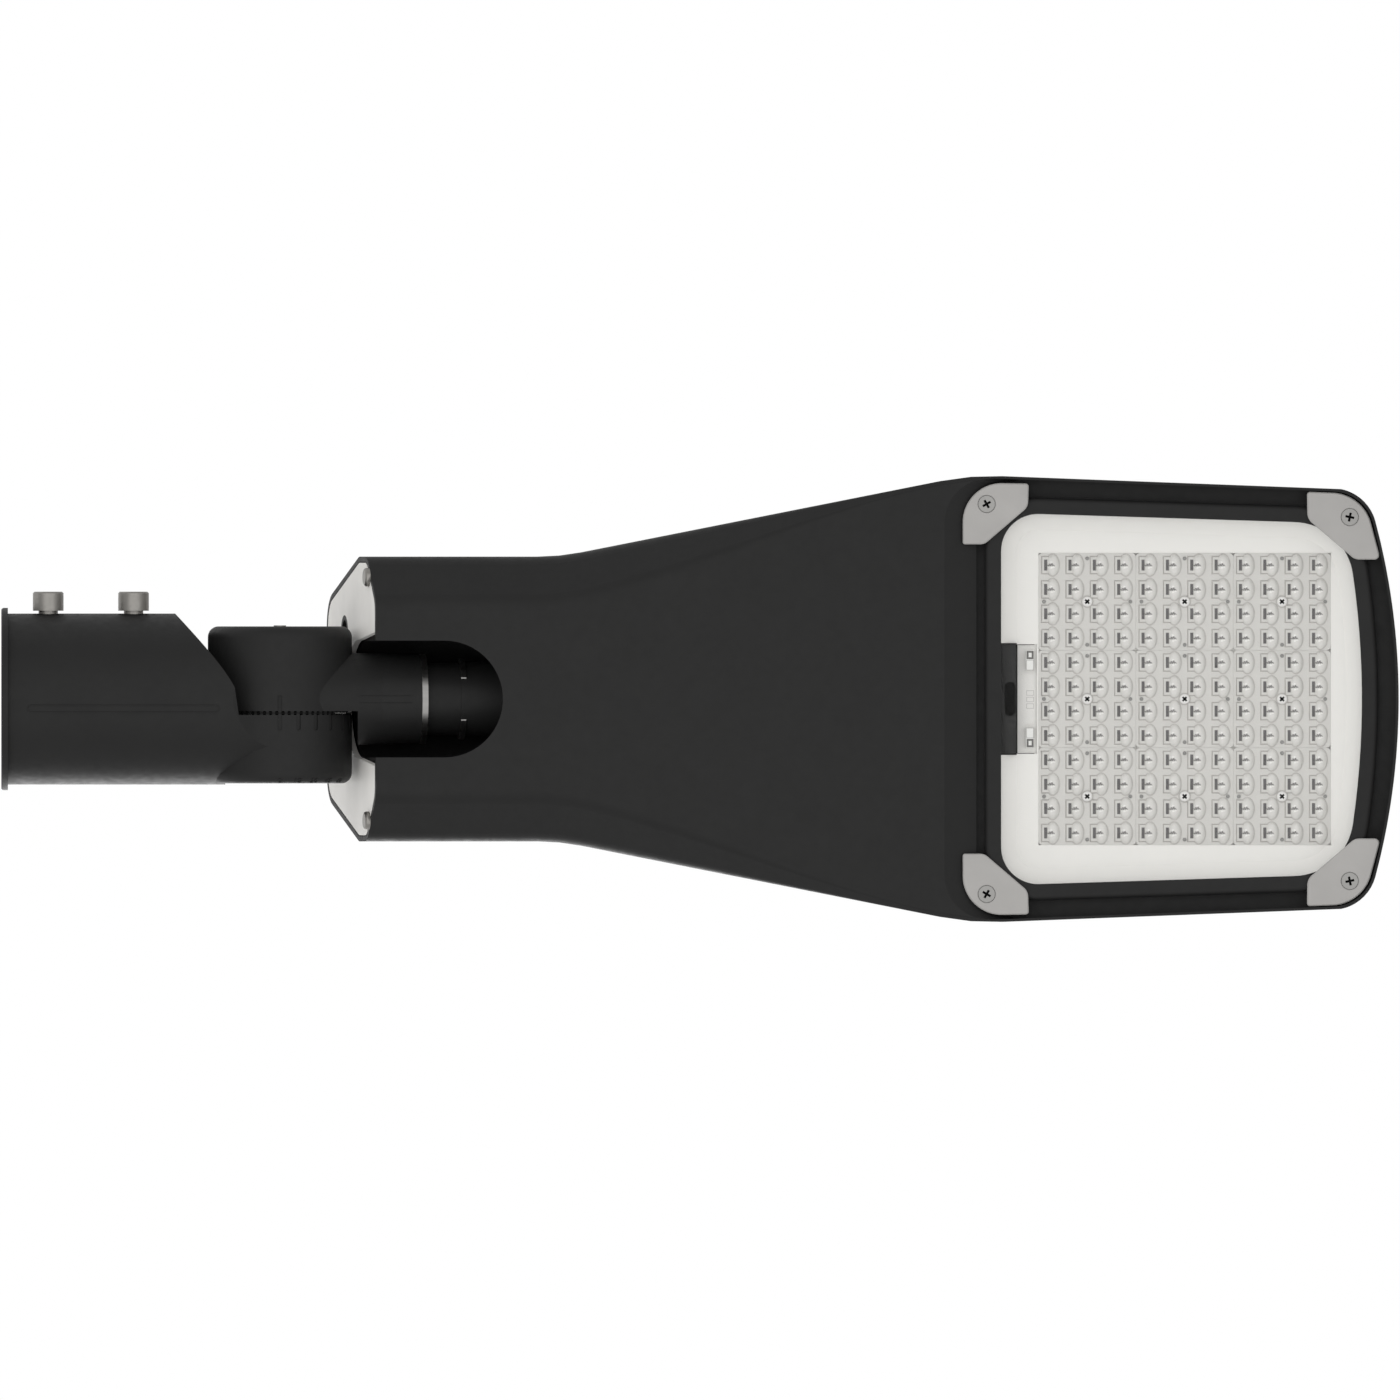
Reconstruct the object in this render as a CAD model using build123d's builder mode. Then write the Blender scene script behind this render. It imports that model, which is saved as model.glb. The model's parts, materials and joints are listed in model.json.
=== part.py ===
from build123d import *
from math import cos, radians, sin, sqrt, tan
import os

os.makedirs("parts", exist_ok=True)

# LED street light, in millimetres. The origin is the centre of the pole socket's mouth,
# +X runs from the socket to the head's nose, +Z is up, and the light leaves towards -Z.

# Gaps shared by many pieces
running_gap = 0.05
play = 0.3
overrun = 1.0

# Pole adapter
socket_radius = 38.5
socket_wall = 5.4
socket_depth = 78.0
collar_lip = 2.9
collar_thickness = 3.4
collar_chamfer = 0.8
shoulder_start_x = 108.0
shoulder_start_z = 45.5
shoulder_end_z = 36.2
side_flat_x = 115.0
wire_hole_radius = 7.0
wire_hole_place = (-6.0, 15.0)

# Clamp screws through the socket's wall
clamp_screw_radius = 5.0
clamp_head_radius = 7.9
clamp_head_height = 9.8
clamp_head_lift = 1.4
clamp_head_chamfer = 0.8
clamp_hex_across = 8.0
clamp_hex_depth = 5.9
clamp_tip_gap = 0.1
clamp_tip_chamfer = 0.6
clamp_screw_x = [24.1, 67.9]

# Tilt knuckle, turning about the Y axis
pivot_x = 143.0
disc_radius = 37.0
scoop_radius = 47.6
scoop_mouth_radius = 54.1
hub_radius = 28.4
hub_bite = 1.2
knuckle_face_y = -37.3
knuckle_split_y = 7.2
tooth_gap = 0.4
tooth_depth = 0.8
tooth_count = 72
tooth_width = 1.9
tooth_length = 8.0
tooth_taper = 20.0
tooth_inset = 0.2
adapter_face_y = 43.3
disc_edge_radius = 5.5
scale_angles = [0, 15, 30, 45, 60, 75]
tick_width = 2.3
tick_length = 8.0
tick_depth = 0.8

# Tilt bolt
bolt_radius = 6.0
bolt_head_radius = 9.0
bolt_head_height = 8.0
bolt_tip_radius = 3.2
bolt_tip_length = 2.0
bolt_tip_proud = 0.5
bolt_end_inset = 1.0
washer_radius = 10.5
washer_thickness = 2.0
counterbore_radius = 11.0
counterbore_depth = 11.0

# Arm from the knuckle into the head
arm_root_x = 150.0
arm_root_half_width = 24.0
arm_root_half_height = 34.0
arm_waist_x = 196.0
arm_waist_radius = 23.4
arm_end_radius = 22.5
arm_end_x = 214.5
arm_overrun = 6.0
arm_trim_depth = 20.0
arm_bore_radius = 13.0
arm_bore_start_x = 165.0
arm_bore_end_x = 206.5
arm_gap = 3.0
arm_lean = 4.5
ring_thickness = 3.0
ring_proud = 0.4
stub_radius = 18.6
stub_length = 17.4
stub_root = 10.0
end_ring_thickness = 2.6
end_ring_radius = 20.6
boss_radius = 19.2
boss_length = 28.0
wire_bore_radius = 7.0
wire_bore_reach = 14.0
key_width = 21.6
key_thickness = 3.1
grommet_flange = 1.8
grommet_flange_thickness = 2.0
grommet_length = 6.0
grommet_wall = 2.0
arm_bolt_radius = 3.0
arm_bolt_circle = 14.0
arm_bolt_bite = 14.0
arm_bolt_head_radius = 4.8
arm_bolt_head_height = 5.0
arm_bolt_angles = [90, 210, 330]

# Head, seen in plan
head_front_x = 717.3
head_front_radius = 350.0
head_corner_radius = 23.0
neck_half_width = 73.1
flare_start_x = 286.4
flare_slope = 0.1984
flare_blend = 11.3
head_start_x = 497.8
head_taper = 0.0383
head_blend = 16.0

# Head, seen from the side
underside_z = -43.5
neck_top_z = 75.5
head_top_z = 24.0
nose_top_z = 8.0
top_slope_start_x = 262.0
top_slope_end_x = 515.0
end_lean = 12.0
end_x = 183.1
wall = 5.0
bulkhead_x = 478.0
nose_radius = 16.0
nose_run = 48.0
nose_rise = 6.0
neck_foot = 21.5
head_foot = 2.0
foot_slant = 1.065
foot_round = 0.6
neck_shoulder_z = -2.5
head_shoulder_drop = 22.0
neck_crown_inset = 22.9
head_crown_inset = 30.0
shoulder_round = 14.0
crown_round = 18.0

# Slot under the neck for the arm
slot_radius = 30.0
slot_start_x = 120.0
slot_end_x = 227.5
slot_wall = 4.0

# Plate that closes the neck
plate_rim = 2.6
plate_thickness = 3.0
seal_line = 0.6
seal_thickness = 1.2
plate_notch_foot = 35.2
plate_notch_drop = 1.2
plate_boss_depth = 24.0
plate_boss_rim = 1.0
seal_edge_inset = 0.2
plate_screw_places = [(-62.5, -26.0), (62.5, -26.0), (0.0, 63.0)]
plate_screw_radius = 2.5
plate_head_radius = 4.8
plate_head_height = 2.6
plate_head_round = 1.4
plate_screw_length = 12.0
plate_screw_tip_room = 2.0
plug_place = (34.4, 33.3)
plug_radius = 8.6
plug_tail = 4.0
plug_rim = 2.4
plug_dish = 2.5

# Recess under the head for the light
recess_left_x = 500.5
recess_rim = 1.4
recess_ramp_x = 484.0
recess_ramp_z = -37.0
recess_floor_z = -31.8
recess_left_radius = 23.0
seat_z = -24.0
seat_thickness = 6.0
fin_slot_width = 8.6
fin_pitch = 12.6
fin_slot_count = 15
fin_start_x = 526.0
fin_end_x = 692.0

# Window in the frame round the glass
window_left_x = 513.2
window_half_left = 95.6
window_taper = 0.0317
window_front_x = 698.4
window_front_radius = 444.0
window_left_radius = 19.0
window_right_radius = 31.0
frame_width = 8.4
frame_face_z = -40.0
frame_lip = 1.5
frame_edge_radius = 2.6
glass_overlap = 4.0
gasket_grow = 0.6
pocket_grow = 1.0
tray_side_grow = 0.5
glass_thickness = 4.0
gasket_thickness = 1.5
tray_thickness = 1.2
tray_floor_z = -27.2
tray_slope = 8.0
tray_opening_margin = 0.8
tray_cut_height = 20.0

# Light board and lens plates
board_thickness = 1.6
lens_pitch = 12.5
lens_rows = 4
module_pitch = 50.0
module_size = 49.4
module_thickness = 2.8
module_hollow = 1.2
module_corner = 2.0
module_centre_x = 607.4
module_rows = 3
dome_length = 11.6
dome_width = 6.0
dome_height = 3.2
dome_round = 1.8
dome_shift = 1.5
prism_length = 9.8
prism_width = 3.4
prism_height = 1.4
prism_shift = -2.6
chip_size = 3.0
chip_height = 0.9
strip_width = 1.2
strip_thickness = 0.2
board_margin = 2.4
module_wall = 1.2
strip_left_x = 521.6
strip_half_width = 27.8
lens_screw_radius = 1.5
lens_screw_head = 2.9
lens_screw_head_height = 1.6
lens_screw_length = 9.0
lens_screw_head_round = 0.9
lens_screw_tip_room = 0.4
peg_radius = 1.0
peg_height = 0.5
peg_inset = 2.8

# Wire connectors on the board's strip
connector_x = 527.9
connector_y = 19.8
connector_width = 4.2
connector_length = 10.3
connector_height = 3.4
connector_chamfer = 0.4

# Wire guide at the window's left side
guide_right_x = 520.9
guide_half_width = 27.9
guide_hole_x = 517.8
guide_hole_width = 5.5
guide_hole_length = 17.6
ledge_length = 40.0
passage_z = -16.0
passage_height = 10.0
passage_width = 14.0

# Corner plates and their screws
corner_plate_z = -42.5
plate_bevel = 0.6
rear_plate = [(493.5, -79.4), (493.5, -111.1), (527.4, -110.6), (527.0, -98.6), (504.6, -79.4)]
rear_plate_radii = [1.2, 20.0, 1.6, 6.0, 6.0]
front_plate = [(670.2, -106.4), (699.0, -105.3), (708.0, -71.6), (694.8, -71.6), (670.4, -92.4)]
front_plate_radii = [1.6, 21.0, 2.4, 6.0, 7.0]
rear_screw = (505.8, -100.1)
front_screw = (692.2, -93.4)
corner_boss_radius = 4.6
corner_boss_root = 0.5
corner_screw_radius = 2.5
corner_screw_head = 4.75
corner_screw_length = 9.5
corner_screw_room = 6.0

# Gear inside the neck and flare
gear_tray_z = -33.0
gear_tray_thickness = 1.5
gear_tray_start_x = 276.0
gear_tray_end_x = 468.0
gear_tray_half_width = 46.0
gear_tray_corner = 4.0
gear_post_radius = 5.0
gear_post_x = [284.0, 460.0]
gear_post_y = 38.0
gear_screw_radius = 2.0
gear_screw_head = 4.0
gear_screw_head_height = 2.4
gear_screw_bite = 3.5
gear_hole_depth = 4.0
case_corner = 3.0
case_edge = 2.0
driver_start_x = 308.0
driver_length = 118.0
driver_width = 58.0
driver_height = 34.0
driver_tab = 7.0
driver_tab_width = 16.0
driver_screw_head = 3.2
driver_screw_head_height = 2.0
driver_tab_thickness = 2.0
surge_start_x = 436.0
surge_length = 30.0
surge_width = 50.0
surge_height = 26.0
terminal_start_x = 280.0
terminal_length = 18.0
terminal_width = 46.0
terminal_height = 17.0
terminal_count = 5
terminal_hole_radius = 2.4
terminal_hole_depth = 6.0

# Places of the housing's cross-sections that its own bends don't give
span = 200.0
first_section_x = 140.0
last_section_x = 740.0
roof_bend_x = 258.0
flare_section_x = [320.0, 350.0, 380.0, 410.0, 440.0, 464.0]
cavity_start_x = 150.0
cavity_section_x = [300.0, 340.0, 380.0, 420.0, 450.0]

# Worked out from the sizes above
adapter_radius = socket_radius + socket_wall
collar_radius = adapter_radius + collar_lip
root_gap = tooth_gap + 2 * tooth_depth
fork_face_y = knuckle_split_y + root_gap / 2
disc_face_y = knuckle_split_y - root_gap / 2
ledge_half_width = guide_half_width + 0.5
frame_bottom_z = recess_floor_z
glass_z = frame_face_z + frame_lip
gasket_z = glass_z + glass_thickness
tray_flange_z = gasket_z + gasket_thickness
board_z = seat_z - board_thickness
module_z = board_z - module_thickness
end_ring_seat = ring_thickness + stub_length
boss_seat = end_ring_seat + end_ring_thickness
boss_end = boss_seat + boss_length
screw_places = [(y, z / cos(radians(end_lean))) for y, z in plate_screw_places]
block_half = module_pitch * (module_rows - 1) / 2 + module_size / 2
tooth_circle = disc_radius - tooth_length / 2 - tooth_inset
bolt_places = [(arm_bolt_circle * cos(radians(a)), arm_bolt_circle * sin(radians(a)))
               for a in arm_bolt_angles]
post_places = [(x, y) for x in gear_post_x for y in (-gear_post_y, gear_post_y)]
corner_places = [(x, side * y) for x, y in (rear_screw, front_screw) for side in (1, -1)]
module_places = [(module_centre_x + (i % module_rows - 1) * module_pitch,
                  (i // module_rows - 1) * module_pitch) for i in range(module_rows**2)]
gear_tray_bottom_z = gear_tray_z - gear_tray_thickness / 2
tray_top_z = gear_tray_z + gear_tray_thickness / 2


def level(z):
    """A horizontal plane."""
    return Plane.XY.offset(z)


def station(x):
    """An upright plane across the light, with its local x along +Y and its local y along +Z."""
    return Plane(origin=(x, 0, 0), x_dir=(0, 1, 0), z_dir=(1, 0, 0))


def pivot_plane(y):
    """A plane across the tilt axis, facing +Y."""
    return Plane(origin=(pivot_x, y, 0), x_dir=(1, 0, 0), z_dir=(0, 1, 0))


def arm_plane(reach):
    """A plane across the leaning end of the arm, a distance along it from the arm's shoulder."""
    along = Vector(cos(radians(arm_lean)), 0, sin(radians(arm_lean)))
    start = Vector(arm_end_x, 0, 0)
    return Plane(origin=start + along * reach, x_dir=(0, 1, 0), z_dir=along)


def end_plane(depth):
    """A plane parallel to the neck's leaning end, facing out, a depth inside it."""
    out = Vector(-cos(radians(end_lean)), 0, -sin(radians(end_lean)))
    return Plane(origin=Vector(end_x, 0, 0) - out * depth, x_dir=(0, -1, 0), z_dir=out)


def rim_plane(angle, y):
    """A plane on the knuckle disc's rim, at an angle from straight down, facing outwards."""
    out = Vector(sin(radians(angle)), 0, -cos(radians(angle)))
    place = Vector(pivot_x, y, 0) + out * disc_radius
    return Plane(origin=place, x_dir=(0, 1, 0), z_dir=out)


def mix(low, high, share):
    return low + (high - low) * share


def smooth_step(value, start, end):
    """0 before start, 1 after end, and level at both."""
    share = min(max((value - start) / (end - start), 0), 1)
    return share * share * (3 - 2 * share)


def head_half_width(x):
    """The housing's half width in plan: straight neck, straight flare, tapered head."""
    if x < flare_start_x + flare_blend:
        run = max(x - flare_start_x + flare_blend, 0)
        return neck_half_width + flare_slope * run * run / (4 * flare_blend)
    flare = neck_half_width + flare_slope * (x - flare_start_x)
    run = x - head_start_x + head_blend
    if run <= 0:
        return flare
    bend = flare_slope + head_taper
    if run < 2 * head_blend:
        return flare - bend * run * run / (4 * head_blend)
    return flare - bend * (x - head_start_x)


def housing_section(x, inset):
    """The housing's cross-section, with chamfered foot and sloping shoulders."""
    flare_share = smooth_step(x, flare_start_x, bulkhead_x)
    drop_share = smooth_step(x, top_slope_start_x, top_slope_end_x)
    nose_share = min(max((x - top_slope_end_x) / (head_front_x - top_slope_end_x), 0), 1)
    half = head_half_width(x) - inset
    foot = mix(neck_foot, head_foot, flare_share)
    top = mix(neck_top_z, mix(head_top_z, nose_top_z, nose_share), drop_share) - inset
    shoulder = mix(neck_shoulder_z, top + inset - head_shoulder_drop, drop_share)
    crown = half - mix(neck_crown_inset, head_crown_inset, drop_share) - inset * 0.2
    bottom = underside_z + inset
    points = [(half - foot * foot_slant, bottom), (half, bottom + foot), (half, shoulder), (crown, top)]
    mirrored = [(-y, z) for y, z in reversed(points)]
    radii = [foot * foot_round, foot * foot_round, shoulder_round, crown_round]
    with BuildSketch(station(x)) as section:
        with BuildLine():
            FilletPolyline(*points, *mirrored, radius=radii + radii[::-1], close=True)
        make_face()
    return section.sketch


def tapered_window(plane, left_x, half_left, taper, front_x, front_radius, radii, grow):
    """A window seen in plan: straight left side, tapering sides, bowed front, round corners."""
    half_front = half_left - taper * (front_x - left_x)
    corner_x = front_x - front_radius + sqrt(front_radius**2 - half_front**2)
    half_corner = half_left - taper * (corner_x - left_x)
    corner = (corner_x, half_corner)
    corner_low = (corner_x, -half_corner)
    with BuildSketch(plane) as window:
        with BuildLine():
            Polyline(corner_low, (left_x, -half_left), (left_x, half_left), corner)
            ThreePointArc(corner, (front_x, 0), corner_low)
        make_face()
        fillet(window.vertices().group_by(Axis.X)[0], radii[0])
        fillet(window.vertices().group_by(Axis.X)[-1], radii[1])
        if grow:
            offset(amount=grow)
    return window.sketch


def window_at(z, grow):
    """The frame's window, grown by a distance, at a level."""
    radii = (window_left_radius, window_right_radius)
    sizes = (window_left_x, window_half_left, window_taper, window_front_x, window_front_radius)
    return tapered_window(level(z), *sizes, radii, grow)


def recess_at(z, left_x):
    """The recess under the head, at a level, with its left side at a given place."""
    half_left = head_half_width(head_front_x) + head_taper * (head_front_x - left_x) - recess_rim
    radii = (recess_left_radius, head_corner_radius - recess_rim)
    sizes = (left_x, half_left, head_taper, head_front_x - recess_rim, head_front_radius)
    return tapered_window(level(z), *sizes, radii, 0)


def plate_outline(plane, inset):
    """The neck's end seen square on to its lean, less an inset all round."""
    stretch = 1 / cos(radians(end_lean))
    low = underside_z * stretch
    foot = neck_foot * stretch
    top = neck_top_z * stretch
    points = [(neck_half_width - neck_foot * foot_slant, low), (neck_half_width, low + foot)]
    points += [(neck_half_width, neck_shoulder_z * stretch), (neck_half_width - neck_crown_inset, top)]
    mirrored = [(-y, z) for y, z in reversed(points)]
    radii = [neck_foot * foot_round, neck_foot * foot_round, shoulder_round, crown_round]
    with BuildSketch(plane) as outline:
        with BuildLine():
            FilletPolyline(*points, *mirrored, radius=radii + radii[::-1], close=True)
        make_face()
        offset(amount=-inset)
    return outline.sketch


def plate_notch(plane, clearance):
    """The end plate's notch: an arch over the arm, wider at its foot."""
    foot = plate_notch_foot + clearance
    arch = slot_radius + clearance
    with BuildSketch(plane) as notch:
        with BuildLine():
            arc_foot = (arch, 0)
            low = underside_z * plate_notch_drop
            Polyline((-arch, 0), (-foot, low), (foot, low), arc_foot)
            ThreePointArc(arc_foot, (0, arch), (-arch, 0))
        make_face()
    return notch.sketch


def slot_solid(radius, start_x, foot_z):
    """The arm's slot: a channel with a round roof and a domed end."""
    with BuildPart() as slot:
        with BuildSketch(station(start_x)):
            Circle(radius)
            Rectangle(2 * radius, -foot_z, align=(Align.CENTER, Align.MAX))
        extrude(amount=slot_end_x - start_x)
        with BuildSketch(level(foot_z)):
            with Locations((slot_end_x, 0)):
                Circle(radius)
        extrude(amount=-foot_z)
        with Locations((slot_end_x, 0, 0)):
            Sphere(radius)
    return slot.part


def knuckle_disc(inner_y, outer_y):
    """One half of the tilt knuckle, with a round edge at its outer face."""
    with BuildPart() as disc:
        with BuildSketch(pivot_plane(inner_y)):
            Circle(disc_radius)
        extrude(amount=outer_y - inner_y)
        fillet(disc.faces().sort_by(Axis.Y)[0 if outer_y < inner_y else -1].edges(), disc_edge_radius)
    return disc.part


def light_pocket():
    """The hollow behind the window, down to the light board's seat, less the wire guide's ledge."""
    with BuildPart() as pocket:
        depth = seat_z - recess_floor_z + overrun
        extrude(window_at(recess_floor_z - overrun, pocket_grow), amount=depth)
        with BuildSketch(level(recess_floor_z - overrun)):
            with Locations((guide_right_x - ledge_length / 2, 0)):
                Rectangle(ledge_length, 2 * ledge_half_width)
        extrude(amount=depth, mode=Mode.SUBTRACT)
    return pocket.part


# Pole adapter: tube socket, scooped end wall, and the toothed half of the knuckle
with BuildPart() as pole_adapter:
    with BuildSketch(station(0)):
        Circle(adapter_radius)
    extrude(amount=pivot_x)
    with BuildSketch(Plane.XZ.offset(-span)):
        with BuildLine():
            middle_x = (shoulder_start_x + pivot_x) / 2
            shoulder = [(shoulder_start_x, shoulder_start_z), (middle_x, shoulder_start_z),
                        (middle_x, shoulder_end_z), (pivot_x, shoulder_end_z)]
            Bezier(*shoulder)
            Bezier(*[(x, -z) for x, z in shoulder])
            Line((pivot_x, shoulder_end_z), (pivot_x, -shoulder_end_z))
            Polyline(shoulder[0], (0, shoulder_start_z), (0, -shoulder_start_z),
                     (shoulder_start_x, -shoulder_start_z))
        make_face()
    extrude(amount=2 * span, mode=Mode.INTERSECT)
    with BuildSketch(pivot_plane(fork_face_y)):
        Circle(scoop_radius)
    with BuildSketch(pivot_plane(-collar_radius)):
        Circle(scoop_mouth_radius)
    loft(ruled=True, mode=Mode.SUBTRACT)
    with BuildSketch(pivot_plane(adapter_face_y)):
        with Locations((side_flat_x - pivot_x, 0)):
            Rectangle(2 * disc_radius, 2 * adapter_radius, align=(Align.MIN, Align.CENTER))
    extrude(amount=adapter_radius, mode=Mode.SUBTRACT)
    add(knuckle_disc(fork_face_y, adapter_face_y))
    with BuildSketch(pivot_plane(fork_face_y)):
        Circle(hub_radius)
    extrude(amount=-root_gap - hub_bite + tooth_gap)
    with BuildSketch(station(0)):
        Circle(collar_radius)
    extrude(amount=collar_thickness)
    lip = pole_adapter.edges().filter_by(GeomType.CIRCLE).group_by(Axis.X)[0]
    chamfer(lip, collar_chamfer)
    with BuildSketch(station(0)):
        Circle(socket_radius)
    extrude(amount=socket_depth, mode=Mode.SUBTRACT)
    with BuildSketch(station(0)):
        with Locations(wire_hole_place):
            Circle(wire_hole_radius)
    extrude(amount=pivot_x, mode=Mode.SUBTRACT)
    for x in clamp_screw_x:
        with BuildSketch(Plane(origin=(x, 0, 0), x_dir=(1, 0, 0), z_dir=(0, -1, 0))):
            Circle(clamp_screw_radius + running_gap)
        extrude(amount=collar_radius, mode=Mode.SUBTRACT)
    with BuildSketch(pivot_plane(adapter_face_y)):
        Circle(counterbore_radius)
    extrude(amount=-counterbore_depth, mode=Mode.SUBTRACT)
    with BuildSketch(pivot_plane(adapter_face_y)):
        Circle(bolt_radius + running_gap)
    extrude(amount=-adapter_face_y, mode=Mode.SUBTRACT)
    with BuildSketch(pivot_plane(fork_face_y)):
        with PolarLocations(tooth_circle, tooth_count):
            Rectangle(tooth_length, tooth_width)
    extrude(amount=-tooth_depth, taper=tooth_taper)
    for angle in scale_angles:
        with BuildSketch(rim_plane(angle, fork_face_y)):
            with Locations((tick_length / 2 - tick_width / 2, 0)):
                SlotOverall(tick_length + tick_width, tick_width)
        extrude(amount=-tick_depth, mode=Mode.SUBTRACT)
pole_adapter.part.label = "pole_adapter"
export_step(pole_adapter.part, "parts/pole_adapter.step")

# Clamp screws, one joint each
for x, name in zip(clamp_screw_x, ["clamp_screw_rear", "clamp_screw_front"]):
    head_y = adapter_radius + clamp_head_lift
    with BuildPart() as clamp_screw:
        with BuildSketch(Plane(origin=(x, -head_y, 0), x_dir=(1, 0, 0), z_dir=(0, -1, 0))):
            Circle(clamp_head_radius)
        extrude(amount=clamp_head_height)
        chamfer(clamp_screw.edges().group_by(Axis.Y)[0], clamp_head_chamfer)
        with BuildSketch(Plane(origin=(x, -head_y, 0), x_dir=(1, 0, 0), z_dir=(0, 1, 0))):
            Circle(clamp_screw_radius)
        extrude(amount=head_y - socket_radius - clamp_tip_gap)
        chamfer(clamp_screw.edges().group_by(Axis.Y)[-1], clamp_tip_chamfer)
        socket_y = -head_y - clamp_head_height
        with BuildSketch(Plane(origin=(x, socket_y, 0), x_dir=(1, 0, 0), z_dir=(0, 1, 0))):
            RegularPolygon(clamp_hex_across / 2, 6, major_radius=False)
        extrude(amount=clamp_hex_depth, mode=Mode.SUBTRACT)
    clamp_screw.part.label = name
    export_step(clamp_screw.part, f"parts/{name}.step")

# Knuckle arm: the other toothed half, and the round arm with its leaning stub
with BuildPart() as knuckle_arm:
    with BuildSketch(station(arm_root_x)):
        Ellipse(arm_root_half_width, arm_root_half_height)
    with BuildSketch(station(arm_waist_x)):
        Circle(arm_waist_radius)
    loft()
    with BuildSketch(station(arm_waist_x)):
        Circle(arm_waist_radius)
    with BuildSketch(station(arm_end_x + arm_overrun)):
        Circle(arm_end_radius)
    loft()
    with BuildSketch(arm_plane(0)):
        Rectangle(2 * slot_radius, 2 * slot_radius)
    extrude(amount=arm_trim_depth, mode=Mode.SUBTRACT)
    with BuildSketch(pivot_plane(disc_face_y)):
        with Locations((arm_gap / 2, 0)):
            Rectangle(2 * disc_radius + arm_gap, 2 * (arm_root_half_height + overrun))
    extrude(amount=slot_radius, mode=Mode.SUBTRACT)
    with BuildSketch(arm_plane(-stub_root)):
        Circle(stub_radius)
    extrude(amount=stub_root + end_ring_seat)
    add(knuckle_disc(disc_face_y, knuckle_face_y))
    with BuildSketch(pivot_plane(disc_face_y)):
        Circle(hub_radius + play)
    extrude(amount=-hub_bite, mode=Mode.SUBTRACT)
    with BuildSketch(pivot_plane(disc_face_y)):
        with PolarLocations(tooth_circle, tooth_count):
            Rectangle(tooth_length, tooth_width)
    extrude(amount=tooth_depth, taper=tooth_taper)
    with BuildSketch(pivot_plane(knuckle_face_y)):
        Circle(bolt_radius + running_gap)
    extrude(amount=disc_face_y - knuckle_face_y, mode=Mode.SUBTRACT)
    with BuildSketch(station(pivot_x - disc_radius)):
        with Locations(wire_hole_place):
            Circle(wire_hole_radius)
    extrude(amount=2 * disc_radius, mode=Mode.SUBTRACT)
    with BuildSketch(station(arm_bore_start_x)):
        Circle(arm_bore_radius)
    extrude(amount=arm_bore_end_x - arm_bore_start_x, mode=Mode.SUBTRACT)
    with BuildSketch(arm_plane(end_ring_seat)):
        Circle(wire_bore_radius)
    extrude(amount=-end_ring_seat - wire_bore_reach, mode=Mode.SUBTRACT)
    with BuildSketch(arm_plane(end_ring_seat)):
        with Locations(bolt_places):
            Circle(arm_bolt_radius + running_gap)
    extrude(amount=-arm_bolt_bite - overrun, mode=Mode.SUBTRACT)
    with BuildSketch(rim_plane(0, disc_face_y)):
        Rectangle(2 * tick_length, tick_width)
    extrude(amount=-tick_depth, mode=Mode.SUBTRACT)
knuckle_arm.part.label = "knuckle_arm"
export_step(knuckle_arm.part, "parts/knuckle_arm.step")

# Tilt bolt, its head in the adapter's counterbore, and its washer
seat_y = adapter_face_y - counterbore_depth
with BuildPart() as tilt_bolt:
    with BuildSketch(pivot_plane(seat_y + washer_thickness)):
        RegularPolygon(bolt_head_radius, 6)
    extrude(amount=bolt_head_height)
    with BuildSketch(pivot_plane(seat_y + washer_thickness)):
        Circle(bolt_radius)
    extrude(amount=knuckle_face_y - seat_y - washer_thickness + bolt_end_inset)
    with BuildSketch(pivot_plane(knuckle_face_y + bolt_tip_length)):
        Circle(bolt_tip_radius)
    extrude(amount=-bolt_tip_length - bolt_tip_proud)
tilt_bolt.part.label = "tilt_bolt"
export_step(tilt_bolt.part, "parts/tilt_bolt.step")

with BuildPart() as tilt_washer:
    with BuildSketch(pivot_plane(seat_y)):
        Circle(washer_radius)
        Circle(bolt_radius + running_gap, mode=Mode.SUBTRACT)
    extrude(amount=washer_thickness)
tilt_washer.part.label = "tilt_washer"
export_step(tilt_washer.part, "parts/tilt_washer.step")

# Rings on the arm: one at its shoulder, one between its stub and the housing's boss
with BuildPart() as arm_ring_front:
    with BuildSketch(arm_plane(0)):
        Circle(arm_end_radius + ring_proud)
        Circle(stub_radius + running_gap, mode=Mode.SUBTRACT)
    extrude(amount=ring_thickness)
arm_ring_front.part.label = "arm_ring_front"
export_step(arm_ring_front.part, "parts/arm_ring_front.step")

with BuildPart() as arm_ring_rear:
    with BuildSketch(arm_plane(end_ring_seat)):
        Circle(end_ring_radius)
        Circle(wire_bore_radius, mode=Mode.SUBTRACT)
        with Locations(bolt_places):
            Circle(arm_bolt_radius + running_gap, mode=Mode.SUBTRACT)
        with Locations((0, key_thickness + play - boss_radius)):
            Rectangle(key_width + 2 * play, boss_radius, align=(Align.CENTER, Align.MAX),
                      mode=Mode.SUBTRACT)
    extrude(amount=end_ring_thickness)
arm_ring_rear.part.label = "arm_ring_rear"
export_step(arm_ring_rear.part, "parts/arm_ring_rear.step")

with BuildPart() as arm_bolts:
    with BuildSketch(arm_plane(boss_end)):
        with Locations(bolt_places):
            Circle(arm_bolt_head_radius)
    extrude(amount=arm_bolt_head_height)
    with BuildSketch(arm_plane(boss_end)):
        with Locations(bolt_places):
            Circle(arm_bolt_radius)
    extrude(amount=end_ring_seat - arm_bolt_bite - boss_end)
arm_bolts.part.label = "arm_bolts"
export_step(arm_bolts.part, "parts/arm_bolts.step")

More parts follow.
